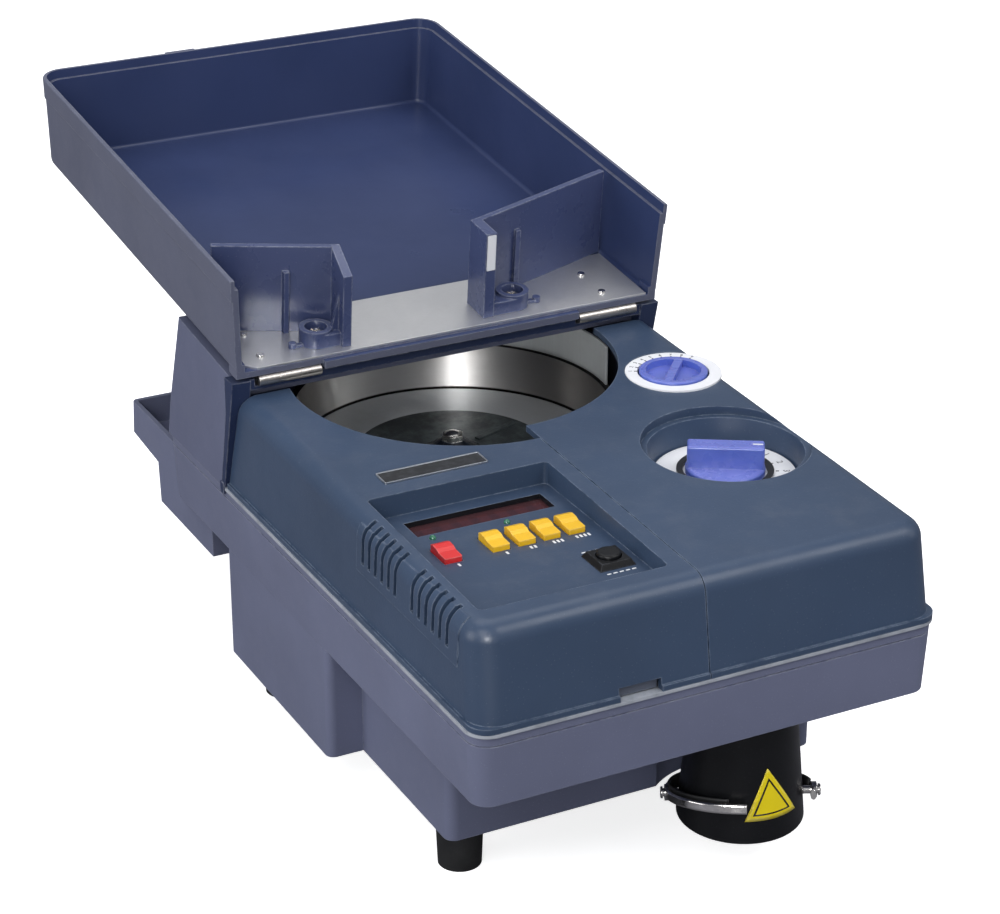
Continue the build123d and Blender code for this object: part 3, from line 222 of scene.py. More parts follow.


def plastic(name, colour, rough=0.45, grain=1400, grain_depth=0.05, worn=(0.75, 0.78, 0.85, 1),
            wear=0.25, blotch=0.06, dust=0.05, coat=0.0, edge_r=0.0004, paint=None, shine=0.4):
    """Moulded plastic: pebbled grain, faint colour drift, scuffs, rubbed edges that partly paint
    the edges' highlight lines, and dust.

    paint(graph, colour) may lay a local colour over the rest."""
    g = Graph(name)
    soft = g.rounded(edge_r)
    drift = g.patches(DRIFT, 0.3, 0.7)
    base = g.mix(drift, scaled(colour, 1 - blotch * DARK_SIDE), scaled(colour, 1 + blotch))
    speck = g.spread(g.cells(grain * 0.55), 0.16, 0.05)
    base = g.mix(g.times(speck, SPECK_SHARE), base, worn)
    # Pale rubbed edges: real wear, and also painted highlight lines along the edges.
    edge_wear_and_highlight_band = g.edges(g.rounded(edge_r * WEAR_AND_HIGHLIGHT_REACH))
    rubbed_and_highlit_edge = g.times(edge_wear_and_highlight_band, g.patches((160, 6, 0.7), 0.34, 0.62))
    base = g.mix(g.times(rubbed_and_highlit_edge, wear), base, worn)
    settled = g.times(g.facing_up(), g.patches((45, 8, 0.75), 0.45, 0.75))
    base = g.mix(g.times(settled, dust), base, DUST_COLOUR)
    if paint:
        base = paint(g, base)
    gloss = g.patches((30, 5, 0.6), 0.25, 0.75, rough - 0.07, rough + 0.08)
    height = g.calc("ADD", g.noise(grain, 2, 0.5), g.times(g.cells(grain * 0.8), 0.6))
    normal = g.bump(height, grain_depth, GRAIN_BUMP, soft)
    normal = g.bump(g.noise(14, 2, 0.4), 0.05, 0.002, normal)
    return g.set(Base_Color=base, Roughness=gloss, Normal=normal, Coat_Weight=coat,
                 Coat_Roughness=0.2, Specular_IOR_Level=shine)


BRUSH_BUMP = 0.0002       # depth that brush lines and flat, smooth finishes stand for
EDGE_METAL = (0.9, 0.9, 0.88, 1)
EDGE_SHARE = 0.35         # how far worn edges go to that colour
LINE_SHARE = 0.22         # how far brush lines brighten the metal
QUARTER_TURN = 0.25       # turns the stretched highlight across the radial tangent


def metal(name, colour, rough=0.25, brushed=(1, 1, 1), brush_scale=300, brush=0.15, tarnish=0.15,
          anisotropic=0.0, radial=False, pits=0.0, stain=(0.32, 0.28, 0.24, 1), bare=1.0,
          paint=None):
    """Bare or plated metal with brush lines, tarnish clouds, pits and brighter edges.

    bare is the metallic share; radial lays the anisotropic highlight round the object's Z."""
    g = Graph(name)
    soft = g.rounded(0.0003)
    lines = g.noise(brush_scale, 4, 0.65, g.stretched(*brushed))
    cloud = g.patches((38, 6, 0.65), 0.42, 0.75)
    base = g.mix(g.times(cloud, tarnish), colour, stain)
    base = g.mix(g.times(g.spread(lines, 0.3, 0.8), LINE_SHARE), base, scaled(colour, 1.25))
    base = g.mix(g.times(g.edges(soft), EDGE_SHARE), base, EDGE_METAL)
    fleck = g.spread(g.cells(420), 0.10, 0.03)
    base = g.mix(g.times(fleck, pits), base, stain)
    if paint:
        base = paint(g, base)
    gloss = g.calc("ADD", g.spread(lines, 0.25, 0.75, rough - brush * 0.5, rough + brush * 0.5),
                   g.times(cloud, 0.06), clamp=True)
    normal = g.bump(lines, 0.10, BRUSH_BUMP, soft)
    g.set(Base_Color=base, Metallic=bare, Roughness=gloss, Normal=normal, Anisotropic=anisotropic)
    if radial:
        turn = g.add("ShaderNodeTangent", direction_type="RADIAL", axis="Z")
        g.link(turn.outputs[0], g.bsdf.inputs["Tangent"])
        g.set(Anisotropic_Rotation=QUARTER_TURN)
    return g.mat


def rubber(name, colour, rough=0.6):
    """Matte rubber with fine pores, pale bloom and dusty edges."""
    g = Graph(name)
    soft = g.rounded(0.0005)
    bloom = g.patches((70, 6, 0.7), 0.45, 0.8)
    grey = tuple(min(1, c * 2.6 + 0.02) for c in colour[:3]) + (1,)
    base = g.mix(g.times(bloom, 0.35), colour, grey)
    base = g.mix(g.times(g.edges(soft), 0.3), base, grey)
    pores = g.calc("ADD", g.noise(1800, 2), g.spread(g.cells(500), 0.12, 0.02, 0, -1))
    gloss = g.patches((90, 4), 0.3, 0.7, rough - 0.08, rough + 0.1)
    return g.set(Base_Color=base, Roughness=gloss, Normal=g.bump(pores, 0.12, GRAIN_BUMP, soft))


BROWN_TARNISH = (0.10, 0.08, 0.07, 1)
# Near-black for the painted shade of the gap above the disc and for the ring's top edge
GAP_SHADE_AND_RIM_BLACK = (0.02, 0.018, 0.016, 1)
LEFT_TARNISH = (-0.012, -0.066)   # x where it begins and where it is full
RIGHT_TARNISH = (0.045, 0.074)
DISC_GAP_SHADE = (0.0014, 0.0007)      # above the disc, where the painted gap shade ends and where it is full
RIM_DARK_LINE = (0.0006, 0.0002)       # below the ring's top, where it begins and where it is full


def ring_gap_shade_and_tarnish(g, base):
    """Brown tarnish on the ring's sides; near-black painted shade of the gap just above the disc,
    and near-black on the top edge.
    """
    x, z = g.axes()[X], g.axes()[Z]
    sides = g.calc("MAXIMUM", g.spread(x, *LEFT_TARNISH), g.times(g.spread(x, *RIGHT_TARNISH), 0.7))
    base = g.mix(g.times(sides, 0.72), base, BROWN_TARNISH)
    disc_top, ring_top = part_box("feed_disc")[1].z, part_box("bowl_ring")[1].z
    # Painted shade: the band just above the disc stands for the shaded gap between ring and disc;
    # the top edge is darkened as well.
    low = g.spread(z, disc_top + DISC_GAP_SHADE[0], disc_top + DISC_GAP_SHADE[1])
    rim = g.spread(z, ring_top - RIM_DARK_LINE[0], ring_top - RIM_DARK_LINE[1])
    return g.mix(g.calc("MAXIMUM", low, rim), base, GAP_SHADE_AND_RIM_BLACK)


HOPPER_HEART = 0.038      # depth below the rim of a point that every inner face looks towards
SWITCH = 0.001            # the colours change over this distance on either side


def shaded_inside(g, base):
    """Painted shade: deep blue on the hopper's inner faces, the given colour on its outer ones.

    A face is an inner one if its normal points back to the hopper's heart."""
    lo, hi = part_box("hopper_tray")
    coord = g.add("ShaderNodeTexCoord")
    away = g.add("ShaderNodeVectorMath", operation="SUBTRACT")
    g.link(coord.outputs["Object"], away.inputs[0])
    away.inputs[1].default_value = (*plan_centre(lo, hi), hi.z - HOPPER_HEART)
    dot = g.add("ShaderNodeVectorMath", operation="DOT_PRODUCT")
    g.link(away.outputs[0], dot.inputs[0])
    g.link(coord.outputs["Normal"], dot.inputs[1])
    inner = g.spread(dot.outputs["Value"], SWITCH, -SWITCH)
    # Painted shade: the inner faces get a darker blue than the outer ones, standing in for the
    # shade inside the tray.
    deep = g.mix(g.patches(DRIFT, 0.3, 0.7), rgb(49, 61, 98), rgb(57, 69, 108))
    return g.mix(inner, base, deep)


WINDOW_FLANGE = 0.0013    # the window reaches this far under the cover all round
WINDOW_WELL = 0.00245     # depth of the opening above the window


def window_well_shade(g, base):
    """Painted shade: near-black on the walls of the display window's opening."""
    lo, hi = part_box("display_window")
    cx, cy = plan_centre(lo, hi)
    within_x = g.calc("LESS_THAN", g.away_from(X, cx), (hi.x - lo.x) / 2 - WINDOW_FLANGE)
    within_y = g.calc("LESS_THAN", g.away_from(Y, cy), (hi.y - lo.y) / 2 - WINDOW_FLANGE)
    below = g.calc("LESS_THAN", g.axes()[Z], hi.z + WINDOW_WELL)
    # Painted shade: the walls of the opening are coloured near-black.
    return g.mix(g.times(g.times(within_x, within_y), below), base, rgb(16, 18, 24))


TUB = plastic("tub_slate", rgb(112, 117, 142), 0.46, 1100, 0.06, dust=0.04, shine=0.3)
TOWER = plastic("tower_slate", rgb(102, 107, 132), 0.44, 1100, 0.06, dust=0.04, shine=0.3)
# worn and wear also set the pale edges, which partly paint the edges' highlight lines
COVER_LOOK = dict(worn=(0.40, 0.47, 0.58, 1), wear=0.45, dust=0.03, coat=0.10, shine=0.35)
COVER = plastic("cover_petrol", rgb(58, 75, 100), 0.38, 900, 0.10, **COVER_LOOK)
# The panel cover's window opening has painted shade on its walls.
PANEL_COVER = plastic("cover_petrol_panel", rgb(58, 75, 100), 0.38, 900, 0.10, paint=window_well_shade,
                      **COVER_LOOK)
FRAME = plastic("frame_navy", rgb(40, 52, 84), 0.4, 1100, 0.05, wear=0.35, shine=0.3)
# The hopper's inner faces are painted a darker blue as painted shade.
HOPPER = plastic("hopper_violet_grey", rgb(98, 102, 122), 0.34, 900, 0.035, wear=0.3, dust=0.03,
                 coat=0.1, paint=shaded_inside, shine=0.3)
BAFFLE = plastic("hopper_deep_blue", rgb(70, 80, 118), 0.28, 900, 0.035, wear=0.35, dust=0.03,
                 coat=0.25, edge_r=0.0005)
BLACK = plastic("black_moulding", rgb(15, 16, 19), 0.36, 1300, 0.05, worn=(0.16, 0.17, 0.2, 1),
                wear=0.35, dust=0.02, coat=0.05, shine=0.25)
YELLOW = plastic("key_yellow", rgb(250, 196, 30), 0.32, 1800, 0.02, worn=(1, 0.9, 0.5, 1),
                 wear=0.3, blotch=0.04, dust=0.02, coat=0.3)
RED = plastic("key_red", rgb(226, 44, 44), 0.32, 1800, 0.02, worn=(1, 0.6, 0.55, 1), wear=0.3,
              blotch=0.04, dust=0.02, coat=0.3)
LATCH = plastic("latch_grey", rgb(92, 98, 112), 0.4, 1200, 0.04)
CREAM = plastic("plate_white", rgb(246, 247, 250), 0.35, 2200, 0.012, worn=(0.85, 0.85, 0.83, 1),
                wear=0.3, blotch=0.02, dust=0.02)
INK = plastic("print_ink", rgb(70, 74, 82), 0.5, 2500, 0.02, wear=0.0, dust=0.0)
WHITE_INK = plastic("print_white", rgb(236, 239, 243), 0.5, 2500, 0.02, wear=0.0, dust=0.02)
LABEL = plastic("label_yellow", rgb(250, 226, 22), 0.38, 2500, 0.012, worn=(0.9, 0.85, 0.5, 1),
                wear=0.3, blotch=0.04)
GREEN = plastic("lamp_green", rgb(54, 120, 92), 0.2, 2500, 0.01, wear=0.1, coat=0.6)
CHROME = metal("hinge_plate", (0.72, 0.70, 0.68, 1), 0.16, (0.2, 1, 1), 700, 0.12, 0.10)
HINGE = metal("hinge_steel", (0.50, 0.47, 0.44, 1), 0.30, (0.2, 1, 1), 700, 0.12, 0.25)
SCREW = metal("screw_steel", (0.36, 0.35, 0.34, 1), 0.3, (1, 1, 1), 500, 0.15, 0.3)
ZINC = metal("zinc_plate", (0.58, 0.58, 0.55, 1), 0.34, (1, 1, 1), 60, 0.2, 0.25)
SATIN = metal("satin_sheet", (0.76, 0.76, 0.76, 1), 0.34, (0.2, 1, 1), 2600, 0.10, 0.12,
              pits=0.2, bare=0.85)
GUARD = metal("guard_sheet", (0.74, 0.77, 0.78, 1), 0.42, (1, 1, 0.03), 500, 0.12, 0.10,
              bare=0.8)
# The ring's paint adds painted shade just above the disc, beside brown tarnish on its sides.
RING = metal("bowl_ring_polish", (0.84, 0.82, 0.80, 1), 0.50, (1, 1, 12), 60, 0.08, 0.12,
             anisotropic=0.95, radial=True, paint=ring_gap_shade_and_tarnish)
DISC = metal("turned_disc", (0.68, 0.70, 0.71, 1), 0.45, (1, 1, 1), 600, 0.08, 0.15,
             anisotropic=0.9, radial=True, bare=0.78)
ALU = metal("machined_aluminium", (0.66, 0.67, 0.69, 1), 0.3, (1, 1, 0.1), 300, 0.15, 0.1)
CORE = metal("core_laminations", (0.14, 0.12, 0.11, 1), 0.5, (0.1, 0.1, 6), 300, 0.2, 0.4)
FOOT = rubber("foot_rubber", rgb(16, 17, 19))
BELT = rubber("belt_rubber", rgb(30, 30, 32), 0.5)
MOTOR_PAINT = plastic("motor_enamel", rgb(48, 52, 56), 0.35, 900, 0.04, wear=0.4)


def gasket_strip():
    """Light grey strip with darker, dirty patches."""
    g = Graph("gasket_strip")
    soft = g.rounded(0.0004)
    dirt = g.patches((55, 6, 0.7), 0.40, 0.72)
    base = g.mix(g.times(dirt, 0.6), rgb(176, 181, 190), rgb(104, 110, 122))
    gloss = g.patches((120, 4), 0.3, 0.7, 0.35, 0.5)
    normal = g.bump(g.noise(900), 0.08, GRAIN_BUMP, soft)
    return g.set(Base_Color=base, Roughness=gloss, Normal=normal)


def knob_blue():
    """Blue knob plastic with slight translucency, rubbed paler edges that also paint the edges'
    highlight lines, and a painted highlight lightening its upward faces.
    """
    g = Graph("knob_blue")
    soft = g.rounded(0.0007)
    base = g.mix(g.patches((60, 4), 0.3, 0.7), rgb(88, 108, 196), rgb(98, 118, 208))
    # Pale edges: real wear, and also painted highlight lines along the bar's edges.
    rubbed_and_highlit_edge = g.times(g.edges(soft), g.patches((220, 5), 0.25, 0.6))
    base = g.mix(g.times(rubbed_and_highlit_edge, 0.55), base, rgb(172, 178, 232))
    # Painted highlight: upward faces are lightened, as if lit from above.
    up = g.times(g.facing_up(), 0.35)
    base = g.mix(up, base, rgb(128, 130, 204))
    gloss = g.patches((140, 5), 0.3, 0.7, 0.24, 0.36)
    normal = g.bump(g.noise(1500, 2), 0.03, GRAIN_BUMP, soft)
    return g.set(Base_Color=base, Roughness=gloss, Normal=normal, Coat_Weight=0.3,
                 Coat_Roughness=0.15, Subsurface_Weight=0.08, Subsurface_Scale=0.002)


DIGIT_BANDS = 2.4         # wave scale times the window's width
DIGIT_ROW = (0.0032, 0.0052)      # the row fades out between these distances from its line


def smoked_window():
    """Dark red filter with faint rows of unlit digits behind it."""
    lo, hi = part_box("display_window")
    g = Graph("smoked_window")
    wave = g.add("ShaderNodeTexWave", wave_type="BANDS", bands_direction="X")
    g.link(g.coord, wave.inputs["Vector"])
    wave.inputs["Scale"].default_value = 1 / (hi.x - lo.x) * DIGIT_BANDS
    wave.inputs["Distortion"].default_value = 0.0
    off_row = g.spread(g.away_from(Y, plan_centre(lo, hi)[Y]), *DIGIT_ROW)
    mid = g.calc("SUBTRACT", 1.0, off_row)
    digits = g.times(g.spread(wave.outputs["Fac"], 0.2, 0.6), mid)
    base = g.mix(g.times(digits, 0.35), rgb(70, 42, 46), rgb(96, 50, 52))
    base = g.mix(g.times(g.patches((700, 5), 0.4, 0.7), 0.3), base, rgb(54, 34, 40))
    return g.set(Base_Color=base, Roughness=g.patches((60, 3), 0.3, 0.7, 0.12, 0.22),
                 Normal=g.bump(g.noise(1200, 3), 0.05, BRUSH_BUMP), Coat_Weight=0.4)


def circuit_board():
    """Green laminate with tracks and pads."""
    g = Graph("circuit_board")
    tracks = g.spread(g.cells(260, "DISTANCE_TO_EDGE"), 0.05, 0.0)
    pads = g.spread(g.cells(180), 0.12, 0.06)
    base = g.mix(tracks, rgb(18, 92, 52), rgb(40, 130, 78))
    base = g.mix(pads, base, rgb(196, 188, 160))
    return g.set(Base_Color=base, Roughness=g.patches((50,), 0.3, 0.7, 0.25, 0.4),
                 Normal=g.bump(tracks, 0.2, BRUSH_BUMP))


PLATE_BORDER = 0.0006


def name_plate_finish():
    """Black field inside a bare metal border."""
    lo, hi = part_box("name_plate")
    cx, cy = plan_centre(lo, hi)
    g = Graph("name_plate_finish")
    ends = g.calc("GREATER_THAN", g.away_from(X, cx), (hi.x - lo.x) / 2 - PLATE_BORDER)
    sides = g.calc("GREATER_THAN", g.away_from(Y, cy), (hi.y - lo.y) / 2 - PLATE_BORDER)
    border = g.calc("MAXIMUM", ends, sides)
    field = g.mix(g.patches((300, 5), 0.4, 0.75), rgb(30, 31, 33), rgb(52, 54, 58))
    base = g.mix(border, field, rgb(178, 182, 188))
    return g.set(Base_Color=base, Metallic=border,
                 Roughness=g.patches((200, 4), 0.3, 0.7, 0.3, 0.5),
                 Normal=g.bump(g.noise(1600, 3), 0.08, BRUSH_BUMP, g.rounded(0.0003)))


COLLAR_R = (0.02165, 0.02155)     # radius where the black collar ends, soft over 0.1 mm
COLLAR_RISE = 0.00135             # height above the plates' underside where it begins


def dial_plate_finish():
    """White printed plates; the raised collar round the large knob is black."""
    cx, cy = plan_centre(*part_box("large_knob"))
    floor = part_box("dial_plates")[0].z
    g = Graph("dial_plate_finish")
    soft = g.rounded(0.0003)
    near = g.spread(g.radius_about(cx, cy), *COLLAR_R)
    high = g.calc("GREATER_THAN", g.axes()[Z], floor + COLLAR_RISE)
    black = g.times(near, high)
    white = g.mix(g.patches((50, 5), 0.4, 0.75), rgb(248, 249, 252), rgb(236, 237, 240))
    base = g.mix(black, white, rgb(26, 28, 34))
    return g.set(Base_Color=base, Roughness=g.patches((90, 4), 0.3, 0.7, 0.28, 0.42),
                 Normal=g.bump(g.noise(1800, 2), 0.03, BRUSH_BUMP, soft))


NUT_R = 0.0056
CONE_TALL = 0.00605


def hub_finish():
    """Black painted cone under a bright domed nut."""
    lo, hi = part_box("hub_cap")
    g = Graph("hub_finish")
    soft = g.rounded(0.0003)
    r = g.radius_about(*plan_centre(lo, hi))
    cone = g.calc("MAXIMUM", g.calc("GREATER_THAN", r, NUT_R),
                  g.calc("LESS_THAN", g.axes()[Z], lo.z + CONE_TALL))
    bright = g.mix(g.patches((150, 4), 0.3, 0.7), (0.62, 0.58, 0.54, 1), (0.8, 0.78, 0.74, 1))
    rim = g.edges(soft)
    black = g.mix(g.times(rim, 0.8), rgb(24, 28, 36), rgb(170, 176, 182))
    base = g.mix(cone, bright, black)
    return g.set(Base_Color=base, Metallic=g.spread(cone, 0, 1, 1.0, 0.15),
                 Roughness=g.patches((120, 4), 0.3, 0.7, 0.18, 0.32),
                 Normal=g.bump(g.noise(900, 3), 0.06, BRUSH_BUMP, soft))


RING_PITCH = 5200         # radians per metre: a ring each 1.2 mm


def mat_finish():
    """Dark disc insert with fine turned rings, worn to a sheen where coins slide."""
    g = Graph("disc_mat_finish")
    r = g.radius_about(*plan_centre(*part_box("disc_mat")))
    rings = g.calc("SINE", g.times(r, RING_PITCH))
    worn = g.patches((70, 6, 0.7), 0.35, 0.7)
    base = g.mix(worn, rgb(52, 58, 60), rgb(88, 96, 98))
    height = g.calc("ADD", rings, g.noise(900, 3))
    normal = g.bump(height, 0.06, GRAIN_BUMP, g.rounded(0.0004))
    return g.set(Base_Color=base, Metallic=0.55, Normal=normal,
                 Roughness=g.spread(worn, 0, 1, 0.42, 0.28))


FINISH = {
    "base_tub": TUB, "lip_gasket": gasket_strip(), "rubber_feet": FOOT, "deck_plate": ZINC,
    "deck_screws": SCREW, "bowl_ring": RING, "bowl_guard": GUARD, "disc_bearing": ALU,
    "drive_belt": BELT, "drive_motor": MOTOR_PAINT, "coin_rail": SATIN, "transport_belt": BELT,
    "belt_bracket": ZINC, "counting_sensor": BLACK, "left_cover": PANEL_COVER, "right_cover": COVER,
    "name_plate": name_plate_finish(), "display_window": smoked_window(),
    "display_board": circuit_board(), "control_board": circuit_board(), "transformer": CORE,
    "motor_key_frame": BLACK, "status_lamps": GREEN, "dial_plates": dial_plate_finish(),
    "bag_tube": BLACK, "ring_pivots": CHROME, "rear_tower": TOWER, "hopper_rests": FOOT,
    "front_frame": FRAME, "fixed_hinge_leaves": HINGE, "box_runners": FRAME,
    "power_inlet": BLACK, "feed_disc": DISC, "disc_mat": mat_finish(), "hub_cap": hub_finish(),
    "disc_shaft": SCREW, "disc_pulley": ALU, "motor_pulley": ALU, "rear_roller": ALU,
    "front_roller": ALU, "diameter_guide": SATIN, "large_knob": knob_blue(),
    "diameter_cam": BLACK, "small_knob": knob_blue(), "cover_latch": LATCH, "reset_key": RED,
    "store_key": YELLOW, "total_key": YELLOW, "batch_key": YELLOW, "clear_key": YELLOW,
    "motor_key": BLACK, "bag_ring": CHROME, "hopper_tray": HOPPER, "steel_plate": SATIN,
    "left_baffle": BAFFLE, "right_baffle": BAFFLE, "hopper_fasteners": CHROME,
    "hopper_hinge_leaves": HINGE, "offsort_box": TUB, "power_rocker": BLACK,
}
for node_name, node in frame["nodes"].items():
    node.data.materials.clear()
    node.data.materials.append(FINISH[node_name])


# ---------------------------------------------------------------- extra pieces
WELD = 1e-7               # vertices closer than this become one


def piece(name, verts, faces, material, body, slot, smooth=False):
    """Closed mesh in the row frame that rides on a body."""
    mesh = bpy.data.meshes.new(name)
    mesh.from_pydata([tuple(v) for v in verts], [], faces)
    mesh.update()
    bm = bmesh.new()
    bm.from_mesh(mesh)
    bmesh.ops.remove_doubles(bm, verts=bm.verts, dist=WELD)
    bmesh.ops.recalc_face_normals(bm, faces=bm.faces)
    bm.to_mesh(mesh)
    bm.free()
    for poly in mesh.polygons:
        poly.use_smooth = smooth
    obj = bpy.data.objects.new(name, mesh)
    bpy.context.scene.collection.objects.link(obj)
    mesh.materials.append(material)
    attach(obj, body)


def prism(outline, place, thick):
    """Side walls, floor and lid over a flat outline; place(u, v, h) gives row-frame points."""
    n = len(outline)
    verts = [place(u, v, 0.0) for u, v in outline] + [place(u, v, thick) for u, v in outline]
    faces = [tuple(range(n))[::-1], tuple(range(n, 2 * n))]
    faces += [(i, (i + 1) % n, n + (i + 1) % n, n + i) for i in range(n)]
    return verts, faces


def joined(shapes):
    """Several (verts, faces) shapes as one."""
    verts, faces = [], []
    for v, f in shapes:
        k = len(verts)
        verts += list(v)
        faces += [tuple(i + k for i in face) for face in f]
    return verts, faces


def round_bar(cx, cy, w, h, r, steps=4):
    """Outline of a w by h bar with rounded corners."""
    points = []
    for qx, qy, start in ((1, 1, 0), (-1, 1, 90), (-1, -1, 180), (1, -1, 270)):
        for i in range(steps + 1):
            a = math.radians(start + 90 * i / steps)
            points.append((cx + qx * (w / 2 - r) + r * math.cos(a),
                           cy + qy * (h / 2 - r) + r * math.sin(a)))
    return points


def numerals(text, size, place, thick):
    """Solid shape of plain numerals, from Blender's own font."""
    curve = bpy.data.curves.new("numeral", "FONT")
    curve.body = text
    curve.size = size
    curve.align_x = "CENTER"
    curve.align_y = "CENTER"
    curve.resolution_u = 3
    curve.extrude = thick / 2
    holder = bpy.data.objects.new("numeral", curve)
    bpy.context.scene.collection.objects.link(holder)
    mesh = holder.to_mesh()
    verts = [place(v.co.x, v.co.y, v.co.z + thick / 2) for v in mesh.vertices]
    faces = [tuple(p.vertices) for p in mesh.polygons]
    holder.to_mesh_clear()
    bpy.data.objects.remove(holder)
    return verts, faces


def level(at, ex, ey):
    """place() for prism: flat marks at a point, with ex and ey as their axes."""
    return lambda u, v, h: at + ex * u + ey * v + Vector((0, 0, h))


def on_plate(cx, cy, z, angle, radius):
    """place() for marks on a dial, upright towards its centre."""
    a = math.radians(angle)
    ex = Vector((math.sin(a), -math.cos(a), 0))
    ey = Vector((math.cos(a), math.sin(a), 0))
    return level(Vector((cx, cy, z)) + ey * radius, ex, ey)


DIGITS = 9
TICK = (0.0007, 0.0016, 0.0003)   # width, length, corner radius
CORNER = 0.0003                   # corner radius of the panel's marks


def dial_marks(name, knob, plate_z, first, last, digit_r, tick_r, size):
    """Numerals and ticks round a knob, from the first to the last heading in degrees."""
    cx, cy = plan_centre(*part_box(knob))
    tick = round_bar(0, 0, *TICK)
    shapes = []
    for i in range(DIGITS):
        angle = first + (last - first) * i / (DIGITS - 1)
        digit_place = on_plate(cx, cy, plate_z, angle, digit_r)
        shapes.append(numerals(str(i + 1), size, digit_place, DIAL_PRINT))
        shapes.append(prism(tick, on_plate(cx, cy, plate_z, angle, tick_r), DIAL_PRINT))
    piece(name, *joined(shapes), INK, "base", "dial_white")


plate_lo, plate_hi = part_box("dial_plates")
LARGE_PLATE = 0.0012              # thickness of the large dial's plate
dial_marks("small_dial_marks", "small_knob", plate_hi.z, first=152, last=34,
           digit_r=0.0198, tick_r=0.0174, size=0.0026)
dial_marks("large_dial_marks", "large_knob", plate_lo.z + LARGE_PLATE, first=16, last=-144,
           digit_r=0.0272, tick_r=0.0232, size=0.0042)

# Marks on the key panel: width, length and corner radius, then their spacing
KEY_BAR = (0.0011, 0.0024, CORNER)
KEY_BAR_STEP = 0.0019
KEY_BAR_SHIFT = 0.001             # to the right of the key's middle
KEY_BAR_GAP = 0.0030              # in front of the key
FRAME_DASH = (0.0020, 0.0009, CORNER)
FRAME_DASH_STEP = 0.0029
FRAME_DASHES = 5
BACK_GAP, FRONT_GAP = 0.0024, 0.0026      # dashes behind and in front of the frame
BARS_BY_KEY = {"store_key": 1, "total_key": 2, "batch_key": 3, "clear_key": 4, "reset_key": 1}


def key_marks():
    """Plain white bars in front of the keys and dashes by the motor key's frame; no lettering."""
    lo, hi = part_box("motor_key_frame")
    shapes = []

    def mark(size, x, y):
        place = level(Vector((x, y, lo.z)), Vector((1, 0, 0)), Vector((0, 1, 0)))
        shapes.append(prism(round_bar(0, 0, *size), place, PANEL_PRINT))

    for key, count in BARS_BY_KEY.items():
        key_lo, key_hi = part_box(key)
        x = plan_centre(key_lo, key_hi)[X] + KEY_BAR_SHIFT
        for i in range(count):
            mark(KEY_BAR, x + (i - (count - 1) / 2) * KEY_BAR_STEP, key_lo.y - KEY_BAR_GAP)
    cx = plan_centre(lo, hi)[X]
    for y in (hi.y + BACK_GAP, lo.y - FRONT_GAP):
        for i in range(FRAME_DASHES):
            mark(FRAME_DASH, cx + (i - FRAME_DASHES // 2) * FRAME_DASH_STEP, y)
    piece("panel_marks", *joined(shapes), WHITE_INK, "base", "dial_white")


key_marks()

POINTER_R = 0.0140                # from the knob's centre to the inlay's
POINTER_THICK = 1e-4


def knob_pointer():
    """White inlay near one end of the large knob's bar."""
    lo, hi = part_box("large_knob")
    a = math.radians(KNOB_HEADING)
    ex, ey = Vector((math.cos(a), math.sin(a), 0)), Vector((-math.sin(a), math.cos(a), 0))
    at = Vector((*plan_centre(lo, hi), hi.z)) + ex * POINTER_R
    outline = round_bar(0, 0, 0.0046, 0.0011, 0.0004)
    piece("knob_pointer", *prism(outline, level(at, ex, ey), POINTER_THICK), WHITE_INK,
          "large_dial", "dial_white")


knob_pointer()

# Blank triangular label on the spout
tube_lo, tube_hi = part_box("bag_tube")
TUBE_X, TUBE_Y = plan_centre(tube_lo, tube_hi)
TUBE_R = (tube_hi.x - tube_lo.x) / 2
TUBE_DRAFT = 0.0892               # the spout narrows upwards by this share of the height
LABEL_LEAN = 0.115                # the label shifts sideways by this share of the height
LABEL_RISE = 0.0110               # its base above the spout's mouth


def on_tube(u, v, h):
    """u along the surface from the front, v up from the label's base, h outwards."""
    u -= LABEL_LEAN * v
    z = tube_lo.z + LABEL_RISE + v
    r = TUBE_R - TUBE_DRAFT * (z - tube_lo.z)
    a = math.radians(-90) + u / r
    return Vector((TUBE_X + (r + h) * math.cos(a), TUBE_Y + (r + h) * math.sin(a), z))


def triangle_sheet(half, tall, thick, base_h, rows=12):
    """Triangle bent round the spout, as a closed thin solid."""
    top, bottom, cols = [], [], rows
    for j in range(rows + 1):
        v = tall * j / rows
        w = half * (1 - j / rows)
        for i in range(cols + 1):
            u = w * (2 * i / cols - 1)
            bottom.append(on_tube(u, v, base_h))
            top.append(on_tube(u, v, base_h + thick))
    n, row = len(bottom), cols + 1
    faces = []
    for j in range(rows):
        for i in range(cols):
            a = j * row + i
            faces.append((a, a + 1, a + 1 + row, a + row))
            faces.append((n + a, n + a + row, n + a + 1 + row, n + a + 1))
    edge = list(range(cols + 1)) + [j * row + cols for j in range(1, rows + 1)]
    edge += [j * row for j in range(rows, 0, -1)]
    for a, b in zip(edge, edge[1:] + edge[:1]):
        faces.append((a, b, n + b, n + a))
    return bottom + top, faces


LABEL_GAP = 0.00008               # between the spout's wall and the label
LABEL_THICK = 0.00028
LINE_OUTER = ((-0.0092, 0.0024), (0.0092, 0.0024), (0.0, 0.0195))
LINE_INNER = ((-0.0079, 0.0031), (0.0079, 0.0031), (0.0, 0.0179))
LINE_STEPS = 8                    # pieces along each side, so that it bends with the spout


def lerp(p, q, t):
    """Point at share t of the way from p to q."""
    return (p[0] + (q[0] - p[0]) * t, p[1] + (q[1] - p[1]) * t)


